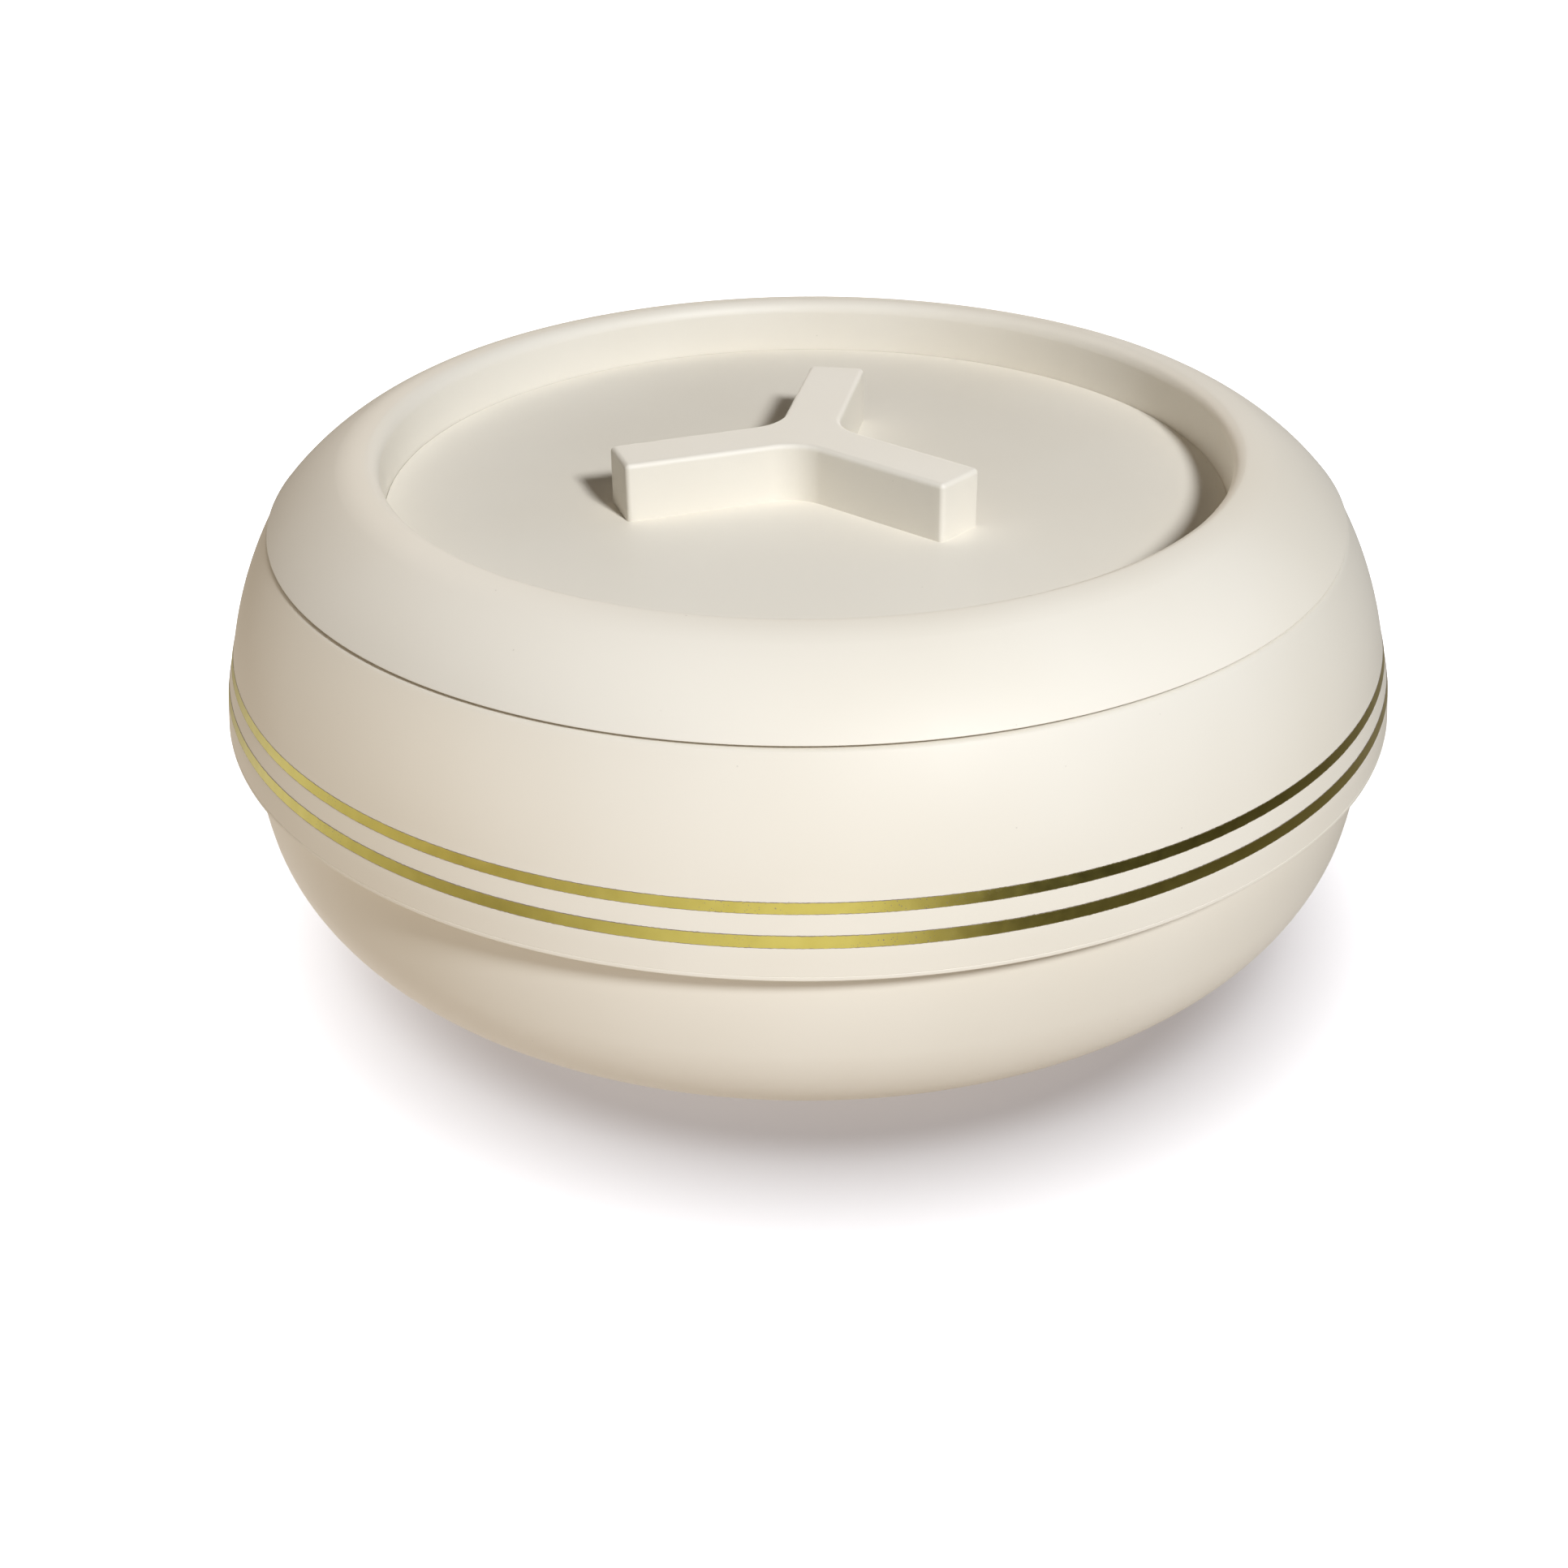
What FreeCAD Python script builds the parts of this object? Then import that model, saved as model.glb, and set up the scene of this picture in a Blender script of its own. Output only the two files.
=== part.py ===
import FreeCAD, Part
import math
import os
import Sketcher

# Round insulated casserole for flat breads: a foam-filled bowl with a steel pot, and a lid that lifts off.
# Millimetres and degrees. +Z is up, the axis of the bowl is Z, and z = 0 is the plane it stands on.

SIZES = [
    # whole casserole
    ("seam_height", 90.0),        # top of the collar, where the lid begins
    ("lip_radius", 125.0),        # widest circle, the collar's lower lip
    ("shell_wall", 2.4),          # wall of the moulded shells
    ("foam_clearance", 0.2),      # foam to the curved shells around it
    ("fit_clearance", 0.3),       # between pieces that slip into each other
    # outer bowl
    ("bowl_lift", 1.9),           # floor of the bowl above the plane it stands on
    ("bowl_floor_inset", 51.5),   # where the flat floor turns up, inside the bowl's widest circle
    ("bowl_heel_inset", 21.1),    # heel of the bowl, inside its widest circle
    ("bowl_heel_height", 7.5),
    ("bowl_heel_tilt", 20.7),     # slope of the wall at the heel
    ("bowl_flank_inset", 1.0),    # flank of the bowl, inside its widest circle
    ("bowl_flank_height", 32.2),
    ("bowl_flank_tilt", 81.0),    # slope of the wall at the flank
    ("bowl_low_arc", 86.0),
    ("bowl_corner_arc", 31.7),
    ("bowl_side_arc", 84.0),
    ("bowl_overhang", 4.4),       # how far the collar's lip stands out over the bowl
    ("bowl_top_drop", 42.5),      # widest circle of the bowl below the seam
    ("neck_step", 6.5),           # height over which the bowl steps in to its neck
    ("neck_inset", 5.1),          # neck radius inside the lip
    ("foot_inset", 1.6),          # foot ring inside the edge of the flat floor
    ("foot_width", 5.0),
    # belly collar
    ("seam_inset", 12.5),         # collar's top edge inside the lip
    ("collar_arc", 74.5),
    ("knee_inset", 2.8),
    ("knee_drop", 24.0),
    ("belly_inset", 0.55),
    ("belly_drop", 33.4),
    ("lip_drop", 38.9),
    ("lip_wall", 2.8),
    ("lip_round", 1.0),
    ("seam_round", 0.8),
    ("rib_thickness", 2.2),       # inside rib that stands on the bowl's neck
    ("rib_width", 6.2),
    ("shelf_thickness", 3.6),
    ("ledge_drop", 1.2),          # seat of the pot's flange below the shelf
    ("ledge_inset", 5.4),         # shelf width from the seam to the seat
    ("hem_drop", 12.0),
    # foil stripes
    ("foil_thickness", 0.12),
    ("upper_stripe_drop", 24.7),
    ("upper_stripe_width", 1.75),
    ("lower_stripe_drop", 30.1),
    ("lower_stripe_width", 2.35),
    # steel pot
    ("pot_gauge", 0.6),
    ("pot_mouth_inset", 11.5),    # pot mouth inside the seam
    ("pot_flange_gap", 0.4),
    ("pot_neck_drop", 16.0),      # straight mouth above the taper
    ("pot_bend", 1.4),            # outside bend from the wall to the flange
    ("pot_floor_height", 17.0),   # outside of the pot's floor
    ("pot_floor_inset", 37.5),    # flat floor inside the mouth
    ("pot_corner_inset", 10.5),   # foot of the tapered wall inside the mouth
    ("pot_corner_height", 38.0),
    ("pot_corner_arc", 28.0),
    # filler plugs
    ("plug_radius", 8.7),
    ("plug_head_margin", 3.3),
    ("plug_head_thickness", 1.2),
    # lid ring
    ("lid_gap", 0.5),             # open joint between the collar and the lid ring
    ("lid_edge_proud", 0.1),
    ("rebate_inset", 2.9),        # step that drops over the liner's flange
    ("landing_width", 3.2),
    ("recess_inset", 24.0),       # wall of the recess inside the seam
    ("recess_round", 1.6),
    ("crest_rise", 14.1),         # top of the ring above the seam
    ("crown_inset", 13.75),
    ("crown_rise", 11.9),
    ("crown_tilt", 28.5),         # slope of the ring at the crown
    ("crest_arc", 18.1),
    ("crown_arc", 47.0),
    ("disc_ledge_width", 3.4),
    ("disc_ledge_thickness", 2.2),
    # lid disc
    ("disc_rise", 2.1),           # top of the disc above the seam
    ("disc_thickness", 2.4),
    ("disc_edge_round", 0.4),
    # handle
    ("handle_turn", 79.0),        # direction of the first arm
    ("handle_height", 12.3),
    ("arm_length", 40.8),
    ("arm_width", 12.2),
    ("arm_fillet", 10.0),         # hollow corners between the arms
    ("handle_edge", 0.8),
    ("screw_circle", 26.0),
    ("screw_radius", 1.95),
    ("screw_depth", 9.0),
    ("screw_head_radius", 4.0),
    ("screw_head_thickness", 2.4),
    ("screw_clearance", 0.1),
    ("screw_hole_margin", 0.3),
    # lid liner and seal
    ("liner_flange_thickness", 2.0),
    ("liner_floor_drop", 9.0),
    ("liner_floor_gap", 1.5),     # liner's floor to the pot's mouth
    ("liner_wall", 2.4),
    ("liner_floor_thickness", 2.0),
    ("seal_width", 2.4),
    ("seal_height", 4.0),
    ("seal_nose", 0.9),           # height of the chamfers of the seal's outer face
]

ARMS = 3
SHEET_NAME = "Sizes"


class Size:
    """A number kept with the expression that ties it to the sheet."""

    def __init__(self, value, text):
        self.value = value
        self.text = text

    def __add__(self, other):
        return combine(self, other, "+", self.value + plain(other))

    def __radd__(self, other):
        return combine(other, self, "+", plain(other) + self.value)

    def __sub__(self, other):
        return combine(self, other, "-", self.value - plain(other))

    def __rsub__(self, other):
        return combine(other, self, "-", plain(other) - self.value)

    def __mul__(self, other):
        return combine(self, other, "*", self.value * plain(other))

    def __rmul__(self, other):
        return combine(other, self, "*", plain(other) * self.value)

    def __truediv__(self, other):
        return combine(self, other, "/", self.value / plain(other))


def plain(item):
    return item.value if isinstance(item, Size) else float(item)


def words(item):
    return item.text if isinstance(item, Size) else repr(float(item))


def combine(first, second, sign, value):
    return Size(value, "(" + words(first) + " " + sign + " " + words(second) + ")")


def sine(angle):
    return Size(math.sin(math.radians(plain(angle))), "sin(" + words(angle) + ")")


def cosine(angle):
    return Size(math.cos(math.radians(plain(angle))), "cos(" + words(angle) + ")")


def make_sheet():
    """Writes the sizes to the sheet and returns them by name."""
    sheet = doc.addObject("Spreadsheet::Sheet", SHEET_NAME)
    sizes = {}
    for row, (name, value) in enumerate(SIZES, start=1):
        sheet.set("A%d" % row, name)
        sheet.set("B%d" % row, str(value))
        sheet.setAlias("B%d" % row, name)
        sizes[name] = Size(value, "<<" + SHEET_NAME + ">>." + name)
    doc.recompute()
    return sizes


class Named:
    """The sizes as attributes."""

    def __init__(self, sizes):
        self.__dict__.update(sizes)


# An outline is a list of corners (radius, height) walked with the material on the left.
# A third entry makes the run to the next corner an arc: left(radius) bulges away from the
# material, right(radius) bulges into it.

def left(radius):
    return ("left", radius)


def right(radius):
    return ("right", radius)


def arc_edge(start, end, side, radius):
    """Arc from start to end with its centre on the given side, and whether it runs counter-clockwise."""
    middle = (start + end) * 0.5
    along = end - start
    half = along.Length / 2
    across = FreeCAD.Vector(-along.y, along.x, 0)
    across.normalize()
    rise = math.sqrt(radius * radius - half * half)
    counter = side == "left"
    centre = middle + across * (rise if counter else -rise)
    circle = Part.Circle(centre, FreeCAD.Vector(0, 0, 1), radius)
    from_angle = math.atan2(start.y - centre.y, start.x - centre.x)
    to_angle = math.atan2(end.y - centre.y, end.x - centre.x)
    if counter:
        return Part.ArcOfCircle(circle, from_angle, to_angle), counter
    return Part.ArcOfCircle(circle, to_angle, from_angle), counter


def draw(sketch, outline):
    """Draws a closed outline whose corners and radii are bound to the sheet."""
    spots = [FreeCAD.Vector(plain(corner[0]), plain(corner[1]), 0) for corner in outline]
    count = len(outline)
    ends = []
    for index, corner in enumerate(outline):
        start = spots[index]
        end = spots[(index + 1) % count]
        if len(corner) == 3:
            edge, counter = arc_edge(start, end, corner[2][0], plain(corner[2][1]))
            sketch.addGeometry(edge, False)
            ends.append((1, 2) if counter else (2, 1))
        else:
            sketch.addGeometry(Part.LineSegment(start, end), False)
            ends.append((1, 2))
    rules = []
    bound = []
    for index, corner in enumerate(outline):
        following = (index + 1) % count
        first = ends[index][0]
        rules.append(Sketcher.Constraint("Coincident", index, ends[index][1], following, ends[following][0]))
        bound.append((len(rules), corner[0]))
        rules.append(Sketcher.Constraint("DistanceX", -1, 1, index, first, plain(corner[0])))
        bound.append((len(rules), corner[1]))
        rules.append(Sketcher.Constraint("DistanceY", -1, 1, index, first, plain(corner[1])))
        if len(corner) == 3:
            bound.append((len(rules), corner[2][1]))
            rules.append(Sketcher.Constraint("Radius", index, plain(corner[2][1])))
    sketch.addConstraint(rules)
    bind(sketch, bound)


def bind(sketch, bound):
    """Ties constraints to the sheet by their number."""
    for number, amount in bound:
        if isinstance(amount, Size):
            sketch.setExpression("Constraints[%d]" % number, amount.text)


def new_body(label):
    body = doc.addObject("PartDesign::Body", label)
    body.Label = label
    body.Placement = FreeCAD.Placement()
    return body


def new_sketch(body, name, role):
    """Sketch on one of the body's own origin planes."""
    plane = [item for item in body.Origin.OriginFeatures if item.Role == role][0]
    sketch = body.newObject("Sketcher::SketchObject", name)
    sketch.AttachmentSupport = (plane, [""])
    sketch.MapMode = "FlatFace"
    return sketch


def raise_sketch(sketch, height):
    """Lifts a sketch on the ground plane to a bound height."""
    sketch.AttachmentOffset = FreeCAD.Placement(FreeCAD.Vector(0, 0, plain(height)), FreeCAD.Rotation())
    sketch.setExpression("AttachmentOffset.Base.z", height.text)


def turned_body(label, outline):
    """A body of revolution about Z."""
    body = new_body(label)
    sketch = new_sketch(body, label + "_section", "XZ_Plane")
    draw(sketch, outline)
    turned = body.newObject("PartDesign::Revolution", label + "_turned")
    turned.Profile = sketch
    turned.ReferenceAxis = (sketch, ["V_Axis"])
    turned.Angle = 360
    doc.recompute()
    return body


def round_rings(body, name, radius, rings):
    """Rounds the circular edges about Z that lie at the given radii and heights."""
    base = body.Tip
    names = []
    for number, edge in enumerate(base.Shape.Edges, start=1):
        if not isinstance(edge.Curve, Part.Circle):
            continue
        for ring_radius, ring_height in rings:
            near = abs(edge.Curve.Radius - plain(ring_radius)) < TOUCH
            level = abs(edge.Curve.Center.z - plain(ring_height)) < TOUCH
            if near and level:
                names.append("Edge%d" % number)
    add_fillet(body, name, radius, names)


def add_fillet(body, name, radius, edges):
    base = body.Tip
    fillet = body.newObject("PartDesign::Fillet", name)
    fillet.Base = (base, edges)
    fillet.Radius = plain(radius)
    fillet.setExpression("Radius", radius.text)
    body.Tip = fillet
    doc.recompute()


def add_polar(body, name, features):
    """Repeats features about Z, once for each arm of the handle."""
    axis = [item for item in body.Origin.OriginFeatures if item.Role == "Z_Axis"][0]
    pattern = body.newObject("PartDesign::PolarPattern", name)
    pattern.Originals = features
    pattern.Axis = (axis, [""])
    pattern.Angle = 360
    pattern.Occurrences = ARMS
    body.Tip = pattern
    doc.recompute()


def add_circle_sketch(body, name, centre_x, radius, height):
    """Sketch of one circle on the X axis at a bound height."""
    sketch = new_sketch(body, name, "XY_Plane")
    raise_sketch(sketch, height)
    centre = FreeCAD.Vector(plain(centre_x), 0, 0)
    sketch.addGeometry(Part.Circle(centre, FreeCAD.Vector(0, 0, 1), plain(radius)), False)
    rules = [
        Sketcher.Constraint("DistanceX", -1, 1, 0, 3, plain(centre_x)),
        Sketcher.Constraint("PointOnObject", 0, 3, -1),
        Sketcher.Constraint("Radius", 0, plain(radius)),
    ]
    sketch.addConstraint(rules)
    bind(sketch, [(0, centre_x), (2, radius)])
    return sketch


def add_pocket(body, name, sketch, depth, reverse):
    pocket = body.newObject("PartDesign::Pocket", name)
    pocket.Profile = sketch
    pocket.Length = plain(depth)
    pocket.setExpression("Length", depth.text)
    pocket.Reversed = reverse
    body.Tip = pocket
    doc.recompute()
    return pocket


def turn_with_handle(body):
    """Turns a body about Z to the direction of the handle's first arm."""
    up = FreeCAD.Vector(0, 0, 1)
    body.Placement = FreeCAD.Placement(FreeCAD.Vector(0, 0, 0), FreeCAD.Rotation(up, plain(s.handle_turn)))
    body.setExpression("Placement.Rotation.Angle", s.handle_turn.text)


doc = FreeCAD.newDocument("casserole")
s = Named(make_sheet())
TOUCH = 0.01

# Radii and heights that several pieces share.
seam_radius = s.lip_radius - s.seam_inset
knee_radius = s.lip_radius - s.knee_inset
belly_radius = s.lip_radius - s.belly_inset
neck_radius = s.lip_radius - s.neck_inset
bowl_radius = s.lip_radius - s.bowl_overhang
shelf_radius = seam_radius - s.ledge_inset
pot_radius = seam_radius - s.pot_mouth_inset
hem_radius = pot_radius + s.pot_gauge + s.fit_clearance
recess_radius = seam_radius - s.recess_inset
crest_radius = recess_radius + s.recess_round
crown_radius = seam_radius - s.crown_inset
edge_radius = seam_radius + s.lid_edge_proud
rebate_radius = edge_radius - s.rebate_inset
landing_radius = rebate_radius - s.landing_width
plug_hole_radius = s.plug_radius + s.fit_clearance
liner_wall_radius = pot_radius - s.fit_clearance - s.seal_width - s.fit_clearance
liner_inner_radius = liner_wall_radius - s.liner_wall

lip_height = s.seam_height - s.lip_drop
belly_height = s.seam_height - s.belly_drop
knee_height = s.seam_height - s.knee_drop
rib_height = knee_height - s.rib_thickness
shelf_under = s.seam_height - s.shelf_thickness
ledge_height = s.seam_height - s.ledge_drop
hem_height = s.seam_height - s.hem_drop
bowl_top_height = s.seam_height - s.bowl_top_drop
neck_height = bowl_top_height + s.neck_step
crest_height = s.seam_height + s.crest_rise
crown_height = s.seam_height + s.crown_rise
disc_top = s.seam_height + s.disc_rise
disc_under = disc_top - s.disc_thickness
disc_ledge_under = disc_under - s.disc_ledge_thickness
flange_top = s.seam_height + s.liner_flange_thickness
liner_floor = s.seam_height - s.liner_floor_drop
liner_floor_top = liner_floor + s.liner_floor_thickness


def bowl_rise(depth):
    """The bowl's wall from the floor to the widest circle, moved inwards by depth."""
    heel_radius = bowl_radius - s.bowl_heel_inset - depth * sine(s.bowl_heel_tilt)
    heel_height = s.bowl_heel_height + depth * cosine(s.bowl_heel_tilt)
    flank_radius = bowl_radius - s.bowl_flank_inset - depth * sine(s.bowl_flank_tilt)
    flank_height = s.bowl_flank_height + depth * cosine(s.bowl_flank_tilt)
    return [
        (bowl_radius - s.bowl_floor_inset, s.bowl_lift + depth, left(s.bowl_low_arc - depth)),
        (heel_radius, heel_height, left(s.bowl_corner_arc - depth)),
        (flank_radius, flank_height, left(s.bowl_side_arc - depth)),
        (bowl_radius - depth, bowl_top_height),
    ]


def walked_back(outline):
    """The same run from its other end, with its arcs turned over."""
    back = []
    for index in range(len(outline) - 1, -1, -1):
        corner = outline[index][:2]
        before = outline[index - 1] if index else ()
        if len(before) == 3:
            side, radius = before[2]
            corner = corner + (right(radius) if side == "left" else left(radius),)
        back.append(corner)
    return back


def pot_rise(depth, floor_height):
    """The pot's wall from its floor to the mouth, moved outwards by depth."""
    return [
        (pot_radius - s.pot_floor_inset, floor_height, left(s.pot_corner_arc + depth)),
        (pot_radius - s.pot_corner_inset + depth, s.pot_corner_height),
        (pot_radius + depth, s.seam_height - s.pot_neck_drop),
    ]


def cone_radius(drop):
    """Radius of the collar's lower cone at a depth below the seam."""
    share = (drop - s.knee_drop) / (s.belly_drop - s.knee_drop)
    return knee_radius + (belly_radius - knee_radius) * share


def make_outer_bowl():
    foot_outer = bowl_radius - s.bowl_floor_inset - s.foot_inset
    foot_inner = foot_outer - s.foot_width
    inner_neck = neck_radius - s.shell_wall
    outline = [
        (plug_hole_radius, s.bowl_lift),
        (foot_inner, s.bowl_lift),
        (foot_inner, 0.0),
        (foot_outer, 0.0),
    ]
    outline += bowl_rise(0.0)
    outline += [
        (neck_radius, neck_height),
        (neck_radius, rib_height),
        (inner_neck, rib_height),
        (inner_neck, neck_height),
    ]
    outline += walked_back(bowl_rise(s.shell_wall))
    outline.append((plug_hole_radius, s.bowl_lift + s.shell_wall))
    return turned_body("outer_bowl", outline)


def make_belly_collar():
    outline = [
        (s.lip_radius - s.lip_wall, lip_height),
        (s.lip_radius, lip_height),
        (belly_radius, belly_height),
        (knee_radius, knee_height, left(s.collar_arc)),
        (seam_radius, s.seam_height),
        (shelf_radius, s.seam_height),
        (shelf_radius, ledge_height),
        (hem_radius + s.pot_bend, ledge_height, left(s.pot_bend)),
        (hem_radius, ledge_height - s.pot_bend),
        (hem_radius, hem_height),
        (hem_radius + s.shell_wall, hem_height),
        (hem_radius + s.shell_wall, shelf_under),
        (seam_radius, shelf_under, right(s.collar_arc - s.shell_wall)),
        (knee_radius - s.shell_wall, knee_height),
        (knee_radius - s.rib_width, knee_height),
        (knee_radius - s.rib_width, rib_height),
        (neck_radius + s.fit_clearance, rib_height),
    ]
    body = turned_body("belly_collar", outline)
    round_rings(body, "lip_rounding", s.lip_round, [(s.lip_radius, lip_height)])
    round_rings(body, "seam_rounding", s.seam_round, [(seam_radius, s.seam_height)])
    return body


def make_stripe(label, drop, width):
    """A foil band that lies on the collar's lower cone."""
    upper_radius = cone_radius(drop)
    lower_radius = cone_radius(drop + width)
    upper_height = s.seam_height - drop
    lower_height = upper_height - width
    outline = [
        (lower_radius, lower_height),
        (lower_radius + s.foil_thickness, lower_height),
        (upper_radius + s.foil_thickness, upper_height),
        (upper_radius, upper_height),
    ]
    return turned_body(label, outline)


def make_inner_pot():
    gauge = s.pot_gauge
    flange_radius = shelf_radius - s.pot_flange_gap
    bend_radius = pot_radius + gauge + s.pot_bend
    outline = [(0.0, s.pot_floor_height)]
    outline += pot_rise(gauge, s.pot_floor_height)
    outline += [
        (pot_radius + gauge, ledge_height - s.pot_bend, right(s.pot_bend)),
        (bend_radius, ledge_height),
        (flange_radius, ledge_height),
        (flange_radius, ledge_height + gauge),
        (bend_radius, ledge_height + gauge, left(s.pot_bend + gauge)),
        (pot_radius, ledge_height - s.pot_bend),
    ]
    outline += walked_back(pot_rise(0.0, s.pot_floor_height + gauge))
    outline.append((0.0, s.pot_floor_height + gauge))
    return turned_body("inner_pot", outline)


def make_body_foam():
    """Rigid foam between the bowl, the collar and the pot."""
    gap = s.foam_clearance
    outside = s.pot_gauge + gap
    hem_outer = hem_radius + s.shell_wall + gap
    floor, heel, flank, top = bowl_rise(s.shell_wall + gap)
    outline = [
        (0.0, s.bowl_lift + s.shell_wall),
        (floor[0], s.bowl_lift + s.shell_wall, floor[2]),
        heel,
        flank,
        top,
        (neck_radius - s.shell_wall - gap, neck_height),
        (neck_radius - s.shell_wall - gap, rib_height),
        (knee_radius - s.rib_width - gap, rib_height),
        (knee_radius - s.rib_width - gap, knee_height),
        (knee_radius - s.shell_wall - gap, knee_height, left(s.collar_arc - s.shell_wall - gap)),
        (seam_radius - gap, shelf_under),
        (hem_outer, shelf_under),
        (hem_outer, hem_height - gap),
        (pot_radius + outside, hem_height - gap),
    ]
    outline += walked_back(pot_rise(outside, s.pot_floor_height))
    outline.append((0.0, s.pot_floor_height))
    return turned_body("body_foam", outline)


def make_plug(label, seat_height, floor_thickness):
    """Cap that closes a foam filling hole from below."""
    head_radius = s.plug_radius + s.plug_head_margin
    outline = [
        (0.0, seat_height - s.plug_head_thickness),
        (head_radius, seat_height - s.plug_head_thickness),
        (head_radius, seat_height),
        (s.plug_radius, seat_height),
        (s.plug_radius, seat_height + floor_thickness),
        (0.0, seat_height + floor_thickness),
    ]
    return turned_body(label, outline)


def ring_underside(depth):
    """Inner side of the lid ring's crown from its landing to the recess wall, moved inwards by depth."""
    slope_radius = crown_radius - depth * sine(s.crown_tilt)
    slope_height = crown_height - depth * cosine(s.crown_tilt)
    gap = depth - s.shell_wall
    return [
        (landing_radius - gap, flange_top, left(s.crown_arc - depth)),
        (slope_radius, slope_height, left(s.crest_arc - depth)),
        (recess_radius + depth, crest_height - depth),
    ]


def make_lid_ring():
    ledge_radius = recess_radius - s.disc_ledge_width
    outline = [
        (rebate_radius, s.seam_height + s.lid_gap),
        (edge_radius, s.seam_height + s.lid_gap, left(s.crown_arc)),
        (crown_radius, crown_height, left(s.crest_arc)),
        (crest_radius, crest_height, left(s.recess_round)),
        (recess_radius, crest_height - s.recess_round),
        (recess_radius, disc_under),
        (ledge_radius, disc_under),
        (ledge_radius, disc_ledge_under),
        (recess_radius + s.shell_wall, disc_ledge_under),
    ]
    outline += walked_back(ring_underside(s.shell_wall))
    outline.append((rebate_radius, flange_top))
    return turned_body("lid_ring", outline)


def make_lid_disc():
    disc_radius = recess_radius - s.fit_clearance
    outline = [
        (0.0, disc_under),
        (disc_radius, disc_under),
        (disc_radius, disc_top),
        (0.0, disc_top),
    ]
    body = turned_body("lid_disc", outline)
    round_rings(body, "disc_rounding", s.disc_edge_round, [(disc_radius, disc_top)])
    hole_radius = s.screw_radius + s.screw_hole_margin
    hole = add_circle_sketch(body, "disc_hole_sketch", s.screw_circle, hole_radius, disc_top)
    pocket = add_pocket(body, "disc_hole", hole, s.disc_thickness, False)
    add_polar(body, "disc_holes", [pocket])
    turn_with_handle(body)
    return body


def make_lid_handle():
    """Three-armed grip that stands on the disc."""
    body = new_body("lid_handle")
    half_width = s.arm_width / 2.0
    sketch = new_sketch(body, "arm_sketch", "XY_Plane")
    raise_sketch(sketch, disc_top)
    draw(sketch, [
        (0.0, 0.0 - half_width),
        (s.arm_length, 0.0 - half_width),
        (s.arm_length, half_width),
        (0.0, half_width),
    ])
    arm = body.newObject("PartDesign::Pad", "arm")
    arm.Profile = sketch
    arm.Length = plain(s.handle_height)
    arm.setExpression("Length", s.handle_height.text)
    doc.recompute()
    pilot_radius = s.screw_radius + s.screw_clearance
    pilot_depth = s.screw_depth + s.screw_clearance
    pilot = add_circle_sketch(body, "pilot_sketch", s.screw_circle, pilot_radius, disc_top)
    bore = add_pocket(body, "pilot", pilot, pilot_depth, True)
    add_polar(body, "arms", [arm, bore])
    corner_distance = s.arm_width / (2.0 * sine(180.0 / ARMS))
    hollow = upright_edges(body.Tip.Shape, plain(corner_distance))
    add_fillet(body, "hollow_corners", s.arm_fillet, hollow)
    end_distance = math.hypot(plain(s.arm_length), plain(half_width))
    ends = upright_edges(body.Tip.Shape, end_distance)
    add_fillet(body, "arm_ends", s.handle_edge, ends)
    top = disc_top + s.handle_height
    rim = []
    for number, edge in enumerate(body.Tip.Shape.Edges, start=1):
        box = edge.BoundBox
        if abs(box.ZMin - plain(top)) < TOUCH and abs(box.ZMax - plain(top)) < TOUCH:
            rim.append("Edge%d" % number)
    add_fillet(body, "top_rounding", s.handle_edge, rim)
    turn_with_handle(body)
    return body


def upright_edges(shape, distance):
    """Straight vertical edges at a distance from the Z axis."""
    names = []
    for number, edge in enumerate(shape.Edges, start=1):
        box = edge.BoundBox
        thin = box.XLength < TOUCH and box.YLength < TOUCH
        away = math.hypot(box.Center.x, box.Center.y)
        if thin and abs(away - distance) < TOUCH:
            names.append("Edge%d" % number)
    return names


def make_handle_screws():
    """Pan-head screws from under the disc into the arms."""
    body = new_body("handle_screws")
    sketch = new_sketch(body, "screw_section", "XZ_Plane")
    middle = s.screw_circle
    head_under = disc_under - s.screw_head_thickness
    tip = disc_top + s.screw_depth
    draw(sketch, [
        (middle, head_under),
        (middle + s.screw_head_radius, head_under),
        (middle + s.screw_head_radius, disc_under),
        (middle + s.screw_radius, disc_under),
        (middle + s.screw_radius, tip),
        (middle, tip),
    ])
    closing_edge = "Edge6"  # the run from the tip back down the screw's own axis
    screw = body.newObject("PartDesign::Revolution", "screw")
    screw.Profile = sketch
    screw.ReferenceAxis = (sketch, [closing_edge])
    screw.Angle = 360
    doc.recompute()
    add_polar(body, "screws", [screw])
    turn_with_handle(body)
    return body


def make_lid_liner():
    """Lower cover of the lid: a flange on the collar and a pan that enters the pot's mouth."""
    floor_radius = pot_radius - s.liner_floor_gap
    flange_radius = rebate_radius - s.fit_clearance
    outline = [
        (plug_hole_radius, liner_floor),
        (floor_radius, liner_floor),
        (floor_radius, liner_floor_top),
        (liner_wall_radius, liner_floor_top),
        (liner_wall_radius, s.seam_height),
        (flange_radius, s.seam_height),
        (flange_radius, flange_top),
        (liner_inner_radius, flange_top),
        (liner_inner_radius, liner_floor_top),
        (plug_hole_radius, liner_floor_top),
    ]
    return turned_body("lid_liner", outline)


def make_lid_seal():
    """Soft ring round the liner's wall, carried by the edge of the liner's floor."""
    inner = liner_wall_radius + s.fit_clearance
    outer = inner + s.seal_width
    top = liner_floor_top + s.seal_height
    outline = [
        (inner, liner_floor_top),
        (outer - s.seal_nose, liner_floor_top),
        (outer, liner_floor_top + s.seal_nose),
        (outer, top - s.seal_nose),
        (outer - s.seal_nose, top),
        (inner, top),
    ]
    return turned_body("lid_seal", outline)


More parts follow.
